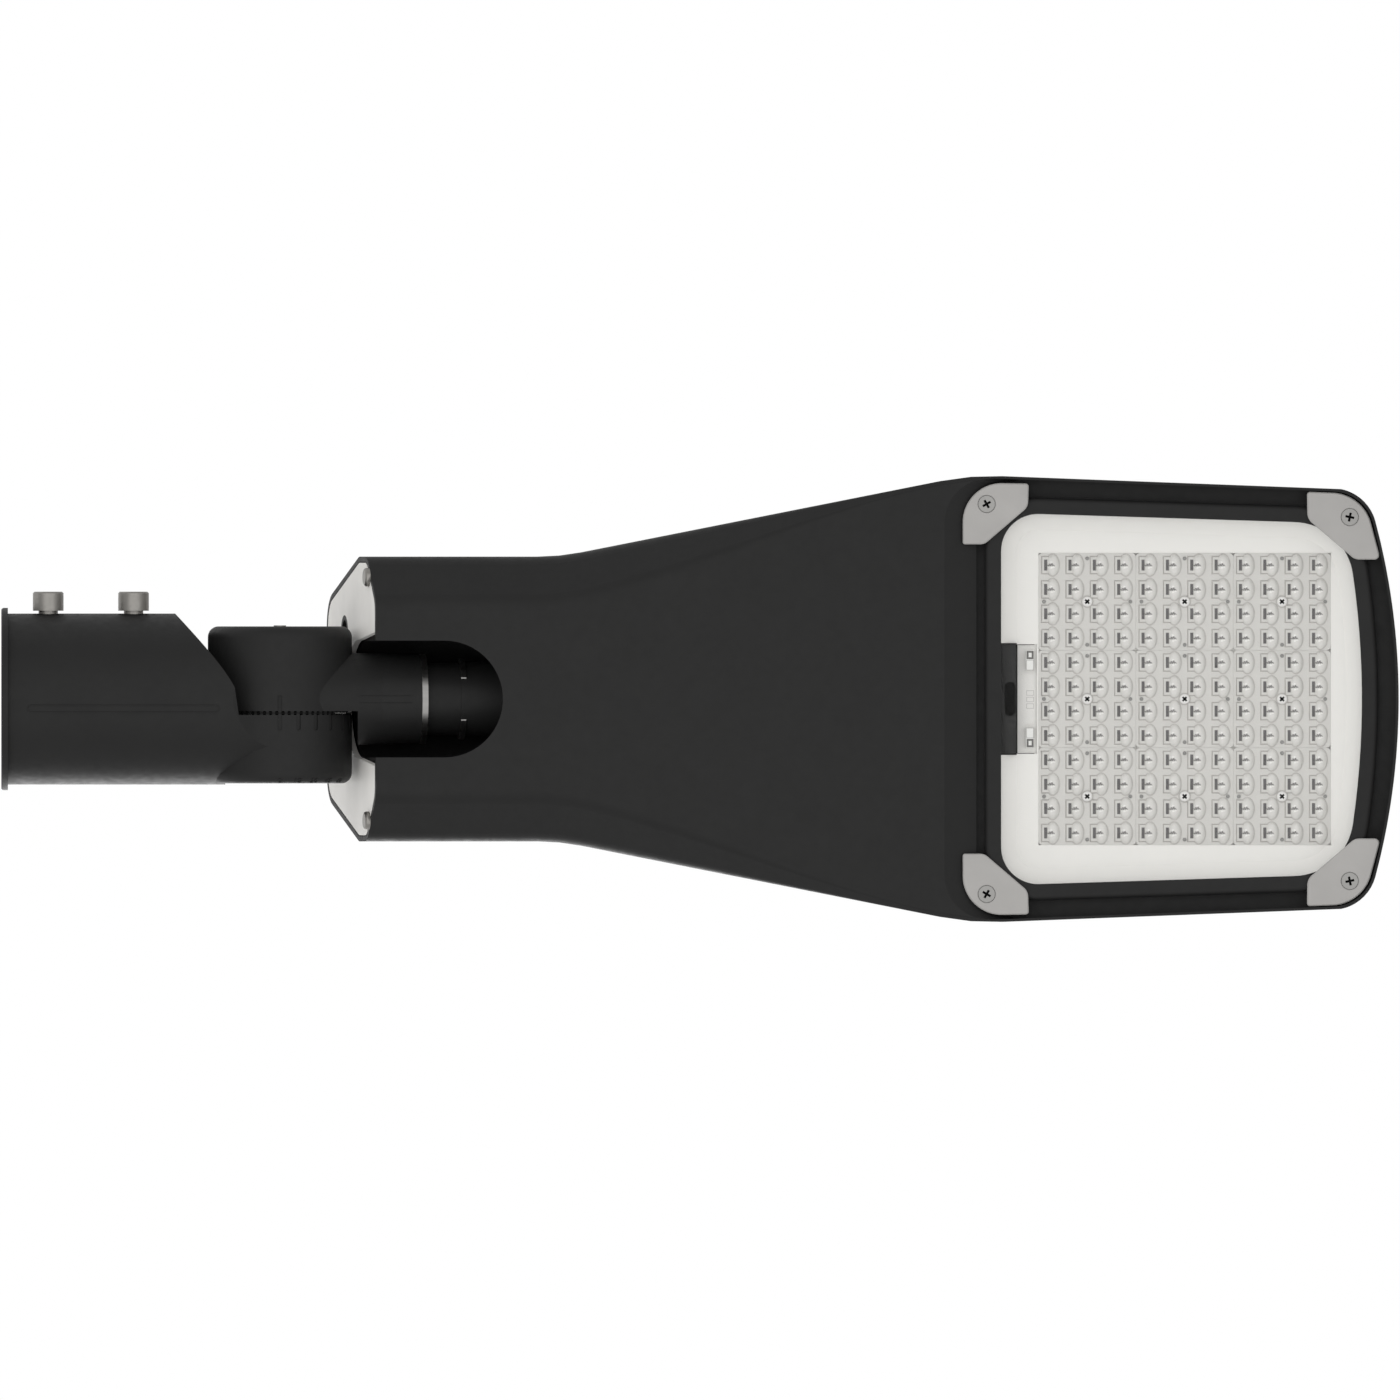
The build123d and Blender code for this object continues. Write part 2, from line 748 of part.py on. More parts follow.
with BuildPart() as cable_grommet:
    with BuildSketch(arm_plane(boss_end)):
        Circle(wire_bore_radius + grommet_flange)
    extrude(amount=grommet_flange_thickness)
    with BuildSketch(arm_plane(boss_end)):
        Circle(wire_bore_radius)
    extrude(amount=-grommet_length)
    with BuildSketch(arm_plane(boss_end - grommet_length)):
        Circle(wire_bore_radius - grommet_wall)
    extrude(amount=grommet_length + grommet_flange_thickness, mode=Mode.SUBTRACT)
cable_grommet.part.label = "cable_grommet"
export_step(cable_grommet.part, "parts/cable_grommet.step")

# Space inside the housing's neck and flare, left by the slot's walls
with BuildPart() as cavity:
    cavity_stations = [cavity_start_x, top_slope_start_x, *cavity_section_x, bulkhead_x]
    loft(sections=[housing_section(x, wall) for x in cavity_stations], ruled=True)
    add(slot_solid(slot_radius + slot_wall, slot_start_x, underside_z), mode=Mode.SUBTRACT)
    with BuildSketch(level(underside_z)):
        with Locations(post_places):
            Circle(gear_post_radius)
    extrude(amount=gear_tray_bottom_z - underside_z, mode=Mode.SUBTRACT)
    with BuildSketch(end_plane(0)):
        with Locations(screw_places):
            Circle(plate_head_radius + plate_boss_rim)
    extrude(amount=-plate_boss_depth, mode=Mode.SUBTRACT)

# Housing: one casting, from the neck's leaning end to the head's bowed nose
with BuildPart() as housing:
    outer_stations = [first_section_x, roof_bend_x, flare_start_x - flare_blend, flare_start_x,
                      flare_start_x + flare_blend, *flare_section_x, head_start_x - head_blend,
                      head_start_x, head_start_x + head_blend, last_section_x]
    loft(sections=[housing_section(x, 0) for x in outer_stations], ruled=True)
    side_start = head_half_width(head_front_x) + head_taper * (head_front_x - slot_start_x) + play
    nose = tapered_window(level(underside_z - overrun), slot_start_x, side_start, head_taper,
                          head_front_x, head_front_radius, (overrun, head_corner_radius), 0)
    extrude(nose, amount=span, mode=Mode.INTERSECT)
    with BuildSketch(Plane.XZ.offset(-span)):
        with BuildLine():
            lean = tan(radians(end_lean))
            low_z = underside_z - overrun
            high_z = neck_top_z + overrun
            foot = (end_x - low_z * lean, low_z)
            roof = (end_x - high_z * lean, high_z)
            nose_foot = (head_front_x + overrun, low_z)
            nose_start = (head_front_x + overrun, nose_top_z - nose_radius)
            nose_end = (head_front_x + overrun - nose_radius, nose_top_z)
            nose_roof = (head_front_x - nose_run, high_z)
            nose_shoulder = (head_front_x - nose_run, nose_top_z + nose_rise)
            Polyline(nose_start, nose_foot, foot, roof, nose_roof, nose_shoulder, nose_end)
            TangentArc(nose_start, nose_end, tangent=(0, 1, 0))
        make_face()
    extrude(amount=2 * span, mode=Mode.INTERSECT)
    add(cavity.part, mode=Mode.SUBTRACT)
    add(slot_solid(slot_radius, slot_start_x, underside_z - overrun), mode=Mode.SUBTRACT)
    with BuildSketch(arm_plane(boss_seat)):
        Circle(boss_radius)
    extrude(amount=boss_length)
    with BuildSketch(arm_plane(boss_seat)):
        Circle(boss_radius)
        with Locations((0, key_thickness - boss_radius)):
            Rectangle(key_width, boss_radius, align=(Align.CENTER, Align.MAX), mode=Mode.INTERSECT)
    extrude(amount=-end_ring_thickness)
    with BuildSketch(arm_plane(boss_seat)):
        Circle(wire_bore_radius)
        with Locations(bolt_places):
            Circle(arm_bolt_radius + running_gap)
    extrude(amount=boss_length + overrun, mode=Mode.SUBTRACT)
    extrude(plate_outline(end_plane(0), plate_rim), amount=-plate_thickness - seal_thickness,
            mode=Mode.SUBTRACT)
    with BuildSketch(end_plane(0)):
        with Locations(screw_places):
            Circle(plate_screw_radius + running_gap)
    extrude(amount=-plate_screw_length - plate_screw_tip_room, mode=Mode.SUBTRACT)
    ramp_foot = recess_at(underside_z - running_gap, recess_ramp_x)
    ramp_top = recess_at(recess_ramp_z, recess_left_x)
    loft(sections=[ramp_foot, ramp_top], ruled=True, mode=Mode.SUBTRACT)
    extrude(recess_at(recess_ramp_z - running_gap, recess_left_x),
            amount=recess_floor_z - recess_ramp_z + running_gap, mode=Mode.SUBTRACT)
    add(light_pocket(), mode=Mode.SUBTRACT)
    with BuildSketch(level(recess_floor_z)):
        with Locations((guide_hole_x, 0)):
            SlotOverall(guide_hole_length, guide_hole_width, rotation=90)
    extrude(amount=passage_z + passage_height / 2 - recess_floor_z, mode=Mode.SUBTRACT)
    with BuildSketch(station(bulkhead_x - overrun)):
        with Locations((0, passage_z)):
            Rectangle(passage_width, passage_height)
    extrude(amount=guide_hole_x + guide_hole_width / 2 - bulkhead_x + overrun, mode=Mode.SUBTRACT)
    with BuildSketch(level(recess_floor_z + corner_boss_root)):
        with Locations(corner_places):
            Circle(corner_boss_radius)
    extrude(amount=frame_face_z - recess_floor_z - corner_boss_root)
    with BuildSketch(level(frame_face_z)):
        with Locations(corner_places):
            Circle(corner_screw_radius + running_gap)
    extrude(amount=corner_screw_length, mode=Mode.SUBTRACT)
    with BuildSketch(level(seat_z)):
        with Locations(module_places):
            Circle(lens_screw_radius + running_gap)
    extrude(amount=lens_screw_length - module_thickness - board_thickness + lens_screw_tip_room,
            mode=Mode.SUBTRACT)
    with BuildSketch(level(gear_tray_bottom_z)):
        with Locations(post_places):
            Circle(gear_screw_radius + running_gap)
    extrude(amount=-gear_hole_depth, mode=Mode.SUBTRACT)
    with BuildSketch(level(seat_z + seat_thickness)):
        fin_centre = (fin_start_x + fin_end_x) / 2
        with Locations((fin_centre, 0)):
            with GridLocations(fin_pitch, fin_pitch, 1, fin_slot_count):
                SlotOverall(fin_end_x - fin_start_x, fin_slot_width)
    extrude(amount=neck_top_z, mode=Mode.SUBTRACT)
housing.part.label = "housing"
export_step(housing.part, "parts/housing.step")

# Plate that closes the neck, its seal, its screws and its plug
with BuildPart() as end_plate:
    extrude(plate_outline(end_plane(0), plate_rim + seal_line), amount=-plate_thickness)
    extrude(plate_notch(end_plane(-overrun), play), amount=-plate_thickness - 2 * overrun,
            mode=Mode.SUBTRACT)
    with BuildSketch(end_plane(0)):
        with Locations(screw_places):
            Circle(plate_screw_radius + play)
        with Locations(plug_place):
            Circle(plug_radius + running_gap)
    extrude(amount=-plate_thickness, mode=Mode.SUBTRACT)
end_plate.part.label = "end_plate"
export_step(end_plate.part, "parts/end_plate.step")

with BuildPart() as end_plate_gasket:
    extrude(plate_outline(end_plane(plate_thickness + seal_thickness), plate_rim),
            amount=seal_thickness)
    extrude(plate_outline(end_plane(plate_thickness), plate_rim),
            amount=plate_thickness - seal_edge_inset)
    extrude(plate_outline(end_plane(plate_thickness), plate_rim + seal_line),
            amount=plate_thickness, mode=Mode.SUBTRACT)
    extrude(plate_outline(end_plane(2 * wall), wall + seal_thickness), amount=2 * wall,
            mode=Mode.SUBTRACT)
    extrude(plate_notch(end_plane(-overrun), play), amount=-2 * wall, mode=Mode.SUBTRACT)
    with BuildSketch(end_plane(0)):
        with Locations(screw_places):
            Circle(plate_screw_radius + play)
    extrude(amount=-plate_thickness - seal_thickness, mode=Mode.SUBTRACT)
end_plate_gasket.part.label = "end_plate_gasket"
export_step(end_plate_gasket.part, "parts/end_plate_gasket.step")

with BuildPart() as end_plate_screws:
    with BuildSketch(end_plane(0)):
        with Locations(screw_places):
            Circle(plate_head_radius)
    extrude(amount=plate_head_height)
    outer_edges = end_plate_screws.edges().group_by(Axis((0, 0, 0), end_plane(0).z_dir))[-1]
    fillet(outer_edges, plate_head_round)
    with BuildSketch(end_plane(0)):
        with Locations(screw_places):
            Circle(plate_screw_radius)
    extrude(amount=-plate_screw_length)
end_plate_screws.part.label = "end_plate_screws"
export_step(end_plate_screws.part, "parts/end_plate_screws.step")

with BuildPart() as breather_plug:
    with BuildSketch(end_plane(0)):
        with Locations(plug_place):
            Circle(plug_radius)
    extrude(amount=-plate_thickness - plug_tail)
    with BuildSketch(end_plane(0)):
        with Locations(plug_place):
            Circle(plug_radius - plug_rim)
    extrude(amount=-plug_dish, mode=Mode.SUBTRACT)
breather_plug.part.label = "breather_plug"
export_step(breather_plug.part, "parts/breather_plug.step")

# Frame round the glass, with a lip below the glass
with BuildPart() as glass_frame:
    extrude(window_at(frame_face_z, frame_width), amount=frame_bottom_z - frame_face_z)
    fillet(glass_frame.edges().group_by(Axis.Z)[0], frame_edge_radius)
    extrude(window_at(glass_z, glass_overlap + play), amount=frame_bottom_z - glass_z,
            mode=Mode.SUBTRACT)
    extrude(window_at(frame_face_z - overrun, 0), amount=frame_lip + 2 * overrun, mode=Mode.SUBTRACT)
glass_frame.part.label = "glass_frame"
export_step(glass_frame.part, "parts/glass_frame.step")

with BuildPart() as cover_glass:
    extrude(window_at(glass_z, glass_overlap), amount=glass_thickness)
cover_glass.part.label = "cover_glass"
export_step(cover_glass.part, "parts/cover_glass.step")

with BuildPart() as glass_gasket:
    extrude(window_at(gasket_z, glass_overlap), amount=gasket_thickness)
    extrude(window_at(gasket_z, gasket_grow), amount=gasket_thickness, mode=Mode.SUBTRACT)
glass_gasket.part.label = "glass_gasket"
export_step(glass_gasket.part, "parts/glass_gasket.step")

# White tray: a flange under the gasket, sloping sides, and a floor round the lens plates
with BuildPart() as reflector_tray:
    extrude(window_at(tray_flange_z, glass_overlap), amount=tray_thickness)
    loft(sections=[window_at(tray_flange_z + tray_thickness, tray_side_grow),
                   window_at(tray_floor_z + tray_thickness, 2 * tray_side_grow - tray_slope)], ruled=True)
    loft(sections=[window_at(tray_flange_z - running_gap, 0), window_at(tray_floor_z, -tray_slope)],
         ruled=True, mode=Mode.SUBTRACT)
    opening_half = block_half + tray_opening_margin
    with BuildSketch(level(tray_flange_z - overrun)):
        with Locations((module_centre_x, 0)):
            Rectangle(2 * opening_half, 2 * opening_half)
        with Locations((module_centre_x - opening_half, 0)):
            Rectangle(module_centre_x - opening_half - guide_right_x + overrun,
                      2 * (strip_half_width + play), align=(Align.MAX, Align.CENTER))
        with Locations((guide_right_x + play, 0)):
            Rectangle(ledge_length, 2 * (ledge_half_width + play), align=(Align.MAX, Align.CENTER))
    extrude(amount=tray_cut_height, mode=Mode.SUBTRACT)
reflector_tray.part.label = "reflector_tray"
export_step(reflector_tray.part, "parts/reflector_tray.step")

with BuildPart() as cable_guide:
    guide_left_x = window_left_x - glass_overlap + play
    with BuildSketch(level(tray_flange_z)):
        with Locations(((guide_left_x + guide_right_x) / 2, 0)):
            Rectangle(guide_right_x - guide_left_x, 2 * guide_half_width)
        with Locations((guide_hole_x, 0)):
            SlotOverall(guide_hole_length, guide_hole_width, rotation=90, mode=Mode.SUBTRACT)
    extrude(amount=tray_thickness)
cable_guide.part.label = "cable_guide"
export_step(cable_guide.part, "parts/cable_guide.step")

# Light board with its strip, the chips on their copper strips, and the connectors
with BuildPart() as led_board:
    with BuildSketch(level(board_z)):
        with Locations((module_centre_x, 0)):
            Rectangle(2 * block_half + 2 * board_margin, 2 * block_half + 2 * board_margin)
        strip_end_x = module_centre_x - block_half
        with Locations(((strip_left_x + strip_end_x) / 2, 0)):
            Rectangle(strip_end_x - strip_left_x, 2 * strip_half_width)
        with Locations(module_places):
            Circle(lens_screw_radius + running_gap, mode=Mode.SUBTRACT)
    extrude(amount=board_thickness)
led_board.part.label = "led_board"
export_step(led_board.part, "parts/led_board.step")

with BuildPart() as led_chips:
    with BuildSketch(level(board_z)):
        with Locations((module_centre_x + dome_shift, 0)):
            with GridLocations(module_pitch, module_pitch, module_rows, module_rows):
                with GridLocations(lens_pitch, lens_pitch, lens_rows, lens_rows):
                    Rectangle(chip_size, chip_size)
    extrude(amount=-chip_height)
    with BuildSketch(level(board_z)):
        with Locations((module_centre_x + dome_shift, 0)):
            with GridLocations(module_pitch, module_pitch, module_rows, module_rows):
                with GridLocations(lens_pitch, lens_pitch, lens_rows, 1):
                    Rectangle(strip_width, lens_pitch * (lens_rows - 1))
                with Locations((0, lens_pitch / 2)):
                    Rectangle(lens_pitch * (lens_rows - 1), strip_width)
    extrude(amount=-strip_thickness)
led_chips.part.label = "led_chips"
export_step(led_chips.part, "parts/led_chips.step")

with BuildPart() as wire_connectors:
    with BuildSketch(level(board_z)):
        with Locations((connector_x, -connector_y), (connector_x, connector_y)):
            Rectangle(connector_width, connector_length)
    extrude(amount=-connector_height)
    chamfer(wire_connectors.edges().group_by(Axis.Z)[0], connector_chamfer)
wire_connectors.part.label = "wire_connectors"
export_step(wire_connectors.part, "parts/wire_connectors.step")

# Lens plate: four by four lenses, hollow over the chips, held by one screw; nine copies
with BuildPart() as lens_plate:
    with BuildSketch(level(board_z)):
        RectangleRounded(module_size, module_size, module_corner)
    extrude(amount=-module_thickness)
    with BuildSketch(level(module_z)):
        with Locations((dome_shift, 0)):
            with GridLocations(lens_pitch, lens_pitch, lens_rows, lens_rows):
                SlotOverall(dome_length, dome_width, rotation=90)
    extrude(amount=-dome_height)
    chamfer(lens_plate.edges().group_by(Axis.Z)[0], dome_round)
    with BuildSketch(level(module_z)):
        with Locations((prism_shift, 0)):
            with GridLocations(lens_pitch, lens_pitch, lens_rows, lens_rows):
                Rectangle(prism_width, prism_length)
    extrude(amount=-prism_height)
    with BuildSketch(level(module_z)):
        edge = module_size / 2 - peg_inset
        with Locations((-edge, 0), (edge, 0), (0, -edge), (0, edge)):
            Circle(peg_radius)
    extrude(amount=-peg_height)
    with BuildSketch(level(module_z)):
        Circle(lens_screw_head + play)
    extrude(amount=-dome_height, mode=Mode.SUBTRACT)
    with BuildSketch(level(board_z)):
        hollow_size = module_size - 2 * module_wall
        RectangleRounded(hollow_size, hollow_size, module_corner - module_wall)
        Circle(2 * lens_screw_radius, mode=Mode.SUBTRACT)
    extrude(amount=-module_hollow, mode=Mode.SUBTRACT)
    with BuildSketch(level(board_z)):
        Circle(lens_screw_radius + running_gap)
    extrude(amount=-module_thickness, mode=Mode.SUBTRACT)

for number, (x, y) in enumerate(module_places, start=1):
    with BuildPart() as lens_module:
        add(lens_plate.part.moved(Location((x, y, 0))))
    lens_module.part.label = f"lens_module_{number}"
    export_step(lens_module.part, f"parts/lens_module_{number}.step")

with BuildPart() as lens_screws:
    with BuildSketch(level(module_z)):
        with Locations(module_places):
            Circle(lens_screw_head)
    extrude(amount=-lens_screw_head_height)
    fillet(lens_screws.edges().group_by(Axis.Z)[0], lens_screw_head_round)
    with BuildSketch(level(module_z)):
        with Locations(module_places):
            Circle(lens_screw_radius)
    extrude(amount=lens_screw_length)
lens_screws.part.label = "lens_screws"
export_step(lens_screws.part, "parts/lens_screws.step")

# Corner plates over the frame's corners, and their countersunk screws
plates = [(rear_plate, rear_plate_radii, rear_screw, 1), (rear_plate, rear_plate_radii, rear_screw, -1),
          (front_plate, front_plate_radii, front_screw, 1),
          (front_plate, front_plate_radii, front_screw, -1)]
for number, (points, radii, screw, side) in enumerate(plates, start=1):
    with BuildPart() as corner_plate:
        with BuildSketch(level(corner_plate_z)):
            with BuildLine():
                FilletPolyline(*[(x, side * y) for x, y in points], radius=radii, close=True)
            make_face()
        extrude(amount=frame_face_z - corner_plate_z)
        chamfer(corner_plate.edges().group_by(Axis.Z)[0], plate_bevel)
        with Locations(level(corner_plate_z)):
            with Locations((screw[0], side * screw[1], 0)):
                Cone(corner_screw_head + running_gap, corner_screw_radius + running_gap,
                     corner_screw_head - corner_screw_radius,
                     align=(Align.CENTER, Align.CENTER, Align.MIN), mode=Mode.SUBTRACT)
                Cylinder(corner_screw_radius + running_gap, corner_screw_room, mode=Mode.SUBTRACT)
    corner_plate.part.label = f"corner_plate_{number}"
    export_step(corner_plate.part, f"parts/corner_plate_{number}.step")

with BuildPart() as corner_screws:
    with Locations([(x, y, corner_plate_z) for x, y in corner_places]):
        Cone(corner_screw_head, corner_screw_radius, corner_screw_head - corner_screw_radius,
             align=(Align.CENTER, Align.CENTER, Align.MIN))
        Cylinder(corner_screw_radius, corner_screw_length,
                 align=(Align.CENTER, Align.CENTER, Align.MIN))
corner_screws.part.label = "corner_screws"
export_step(corner_screws.part, "parts/corner_screws.step")

# Gear tray on the housing's posts, and the electrical gear on it
with BuildPart() as gear_tray:
    with BuildSketch(level(gear_tray_bottom_z)):
        with Locations(((gear_tray_start_x + gear_tray_end_x) / 2, 0)):
            RectangleRounded(gear_tray_end_x - gear_tray_start_x, 2 * gear_tray_half_width,
                             gear_tray_corner)
        with Locations(post_places):
            Circle(gear_screw_radius + running_gap, mode=Mode.SUBTRACT)
    extrude(amount=gear_tray_thickness)
gear_tray.part.label = "gear_tray"
export_step(gear_tray.part, "parts/gear_tray.step")

with BuildPart() as gear_tray_screws:
    with BuildSketch(level(tray_top_z)):
        with Locations(post_places):
            Circle(gear_screw_head)
    extrude(amount=gear_screw_head_height)
    with BuildSketch(level(tray_top_z)):
        with Locations(post_places):
            Circle(gear_screw_radius)
    extrude(amount=-gear_tray_thickness - gear_screw_bite)
gear_tray_screws.part.label = "gear_tray_screws"
export_step(gear_tray_screws.part, "parts/gear_tray_screws.step")

driver_centre_x = driver_start_x + driver_length / 2
tab_places = [(driver_start_x - driver_tab / 2, 0), (driver_start_x + driver_length + driver_tab / 2, 0)]
with BuildPart() as led_driver:
    with BuildSketch(level(tray_top_z)):
        with Locations((driver_centre_x, 0)):
            RectangleRounded(driver_length, driver_width, case_corner)
    extrude(amount=driver_height)
    fillet(led_driver.edges().group_by(Axis.Z)[-1], case_edge)
    with BuildSketch(level(tray_top_z)):
        with Locations((driver_centre_x, 0)):
            Rectangle(driver_length + 2 * driver_tab, driver_tab_width)
    extrude(amount=driver_tab_thickness)
    with BuildSketch(level(tray_top_z)):
        with Locations(tab_places):
            Circle(gear_screw_radius + running_gap)
    extrude(amount=driver_tab_thickness, mode=Mode.SUBTRACT)
led_driver.part.label = "led_driver"
export_step(led_driver.part, "parts/led_driver.step")

with BuildPart() as driver_screws:
    with BuildSketch(level(tray_top_z + driver_tab_thickness)):
        with Locations(tab_places):
            Circle(driver_screw_head)
    extrude(amount=driver_screw_head_height)
    with BuildSketch(level(tray_top_z + driver_tab_thickness)):
        with Locations(tab_places):
            Circle(gear_screw_radius)
    extrude(amount=-driver_tab_thickness)
driver_screws.part.label = "driver_screws"
export_step(driver_screws.part, "parts/driver_screws.step")

with BuildPart() as surge_protector:
    with BuildSketch(level(tray_top_z)):
        with Locations((surge_start_x + surge_length / 2, 0)):
            RectangleRounded(surge_length, surge_width, case_corner)
    extrude(amount=surge_height)
    fillet(surge_protector.edges().group_by(Axis.Z)[-1], case_edge)
surge_protector.part.label = "surge_protector"
export_step(surge_protector.part, "parts/surge_protector.step")

with BuildPart() as terminal_block:
    with BuildSketch(level(tray_top_z)):
        with Locations((terminal_start_x + terminal_length / 2, 0)):
            Rectangle(terminal_length, terminal_width)
    extrude(amount=terminal_height)
    with BuildSketch(level(tray_top_z + terminal_height)):
        with Locations((terminal_start_x + terminal_length / 2, 0)):
            with GridLocations(terminal_length, terminal_width / terminal_count, 1, terminal_count):
                Circle(terminal_hole_radius)
    extrude(amount=-terminal_hole_depth, mode=Mode.SUBTRACT)
terminal_block.part.label = "terminal_block"
export_step(terminal_block.part, "parts/terminal_block.step")
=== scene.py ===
import json
import math

import bmesh
import bpy
from mathutils import Matrix, Vector


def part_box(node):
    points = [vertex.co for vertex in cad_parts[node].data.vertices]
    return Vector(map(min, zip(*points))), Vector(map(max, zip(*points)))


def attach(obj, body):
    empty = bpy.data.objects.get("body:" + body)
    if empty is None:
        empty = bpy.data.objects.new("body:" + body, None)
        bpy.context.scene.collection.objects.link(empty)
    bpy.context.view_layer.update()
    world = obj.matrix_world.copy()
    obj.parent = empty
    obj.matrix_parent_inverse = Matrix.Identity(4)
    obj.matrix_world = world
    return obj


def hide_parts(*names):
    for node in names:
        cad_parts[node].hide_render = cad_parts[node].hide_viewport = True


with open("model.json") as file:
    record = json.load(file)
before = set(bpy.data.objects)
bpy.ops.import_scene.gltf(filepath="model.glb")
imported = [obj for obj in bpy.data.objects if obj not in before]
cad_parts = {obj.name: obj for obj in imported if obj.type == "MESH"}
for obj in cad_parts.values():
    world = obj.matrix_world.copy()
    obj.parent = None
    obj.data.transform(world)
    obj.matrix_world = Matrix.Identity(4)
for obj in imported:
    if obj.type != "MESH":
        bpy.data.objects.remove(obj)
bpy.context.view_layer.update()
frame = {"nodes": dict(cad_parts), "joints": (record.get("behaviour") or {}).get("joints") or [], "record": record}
nodes = frame["nodes"]
scene = bpy.context.scene
MM = 0.001

# Places read from the frame
tilt_joint = next(j for j in frame["joints"] if j["name"] == "tilt")
pivot = Vector(tilt_joint["pos_m"])
board_face_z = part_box("led_board")[0].z

# Camera: looks straight up at the underside, with no perspective
VIEW_WIDTH = 0.7186
camera_data = bpy.data.cameras.new("camera")
camera_data.type = "ORTHO"
camera_data.ortho_scale = VIEW_WIDTH
camera = bpy.data.objects.new("camera", camera_data)
camera.location = (0.35865, 0.0005, -1.2)
camera.rotation_euler = (math.pi, 0, 0)
scene.collection.objects.link(camera)
scene.camera = camera
scene.view_settings.view_transform = "Standard"


# Materials
def new_material(name, colour, roughness, metallic=0.0, specular=0.5):
    """A material with one surface shader, and its node tree."""
    made = bpy.data.materials.new(name)
    made.use_nodes = True
    shader = made.node_tree.nodes["Principled BSDF"]
    shader.inputs["Base Color"].default_value = (*colour, 1)
    shader.inputs["Roughness"].default_value = roughness
    shader.inputs["Metallic"].default_value = metallic
    shader.inputs["Specular IOR Level"].default_value = specular
    return made


def noise(material, scale, detail=2.0, stretch=(1, 1, 1)):
    """A noise texture in the object's own coordinates, with a scale in waves per metre."""
    tree = material.node_tree
    place = tree.nodes.new("ShaderNodeTexCoord")
    mapping = tree.nodes.new("ShaderNodeMapping")
    mapping.inputs["Scale"].default_value = stretch
    texture = tree.nodes.new("ShaderNodeTexNoise")
    texture.inputs["Scale"].default_value = scale
    texture.inputs["Detail"].default_value = detail
    tree.links.new(place.outputs["Object"], mapping.inputs["Vector"])
    tree.links.new(mapping.outputs["Vector"], texture.inputs["Vector"])
    return texture


def ramp_between(material, texture, low, high):
    """A value that follows a texture between two limits."""
    tree = material.node_tree
    spread = tree.nodes.new("ShaderNodeMapRange")
    spread.inputs["From Min"].default_value = 0.3
    spread.inputs["From Max"].default_value = 0.7
    spread.inputs["To Min"].default_value = low
    spread.inputs["To Max"].default_value = high
    tree.links.new(texture.outputs["Fac"], spread.inputs["Value"])
    return spread


def tint(material, colour, spread, scale, stretch=(1, 1, 1)):
    """Slight lighter and darker patches round a colour."""
    tree = material.node_tree
    texture = noise(material, scale, 3.0, stretch)
    mix = tree.nodes.new("ShaderNodeMix")
    mix.data_type = "RGBA"
    mix.inputs[6].default_value = (*[c * (1 - spread) for c in colour], 1)
    mix.inputs[7].default_value = (*[c * (1 + spread) for c in colour], 1)
    tree.links.new(texture.outputs["Fac"], mix.inputs[0])
    tree.links.new(mix.outputs[2], tree.nodes["Principled BSDF"].inputs["Base Color"])


def uneven_gloss(material, low, high, scale, stretch=(1, 1, 1)):
    """Roughness that wanders between two values."""
    value = ramp_between(material, noise(material, scale, 3.0, stretch), low, high)
    shader = material.node_tree.nodes["Principled BSDF"]
    material.node_tree.links.new(value.outputs["Result"], shader.inputs["Roughness"])


def grain(material, scale, depth, strength=0.5, stretch=(1, 1, 1)):
    """A fine bump, with a depth in metres."""
    tree = material.node_tree
    bump = tree.nodes.new("ShaderNodeBump")
    bump.inputs["Distance"].default_value = depth
    bump.inputs["Strength"].default_value = strength
    tree.links.new(noise(material, scale, 2.0, stretch).outputs["Fac"], bump.inputs["Height"])
    tree.links.new(bump.outputs["Normal"], tree.nodes["Principled BSDF"].inputs["Normal"])


def powder_coat(name, colour, roughness, specular):
    """Powder coat: fine orange peel, faint patches, slightly uneven gloss."""
    made = new_material(name, colour, roughness, specular=specular)
    tint(made, colour, 0.10, 60)
    uneven_gloss(made, roughness - 0.05, roughness + 0.06, 240)
    grain(made, 1400, 0.00006, 0.35)
    return made


def metal(name, colour, roughness, stretch=(1, 1, 1), depth=0.00002):
    """Bare metal with machining marks along one direction."""
    made = new_material(name, colour, roughness, metallic=1.0)
    tint(made, colour, 0.06, 300, stretch)
    uneven_gloss(made, roughness - 0.06, roughness + 0.08, 500, stretch)
    grain(made, 2500, depth, 0.3, stretch)
    return made


def plastic(name, colour, roughness, specular=0.5, spread=0.03, depth=0.00002):
    """Moulded plastic with a very fine surface."""
    made = new_material(name, colour, roughness, specular=specular)
    tint(made, colour, spread, 150)
    uneven_gloss(made, roughness - 0.04, roughness + 0.04, 300)
    grain(made, 1800, depth, 0.25)
    return made


def clear_glass(name):
    """Thin clear glass that shows what lies behind it, with a faint body."""
    made = new_material(name, (0.30, 0.30, 0.29), 0.03, specular=0.10)
    made.node_tree.nodes["Principled BSDF"].inputs["Alpha"].default_value = 0.02
    uneven_gloss(made, 0.02, 0.05, 20)
    return made


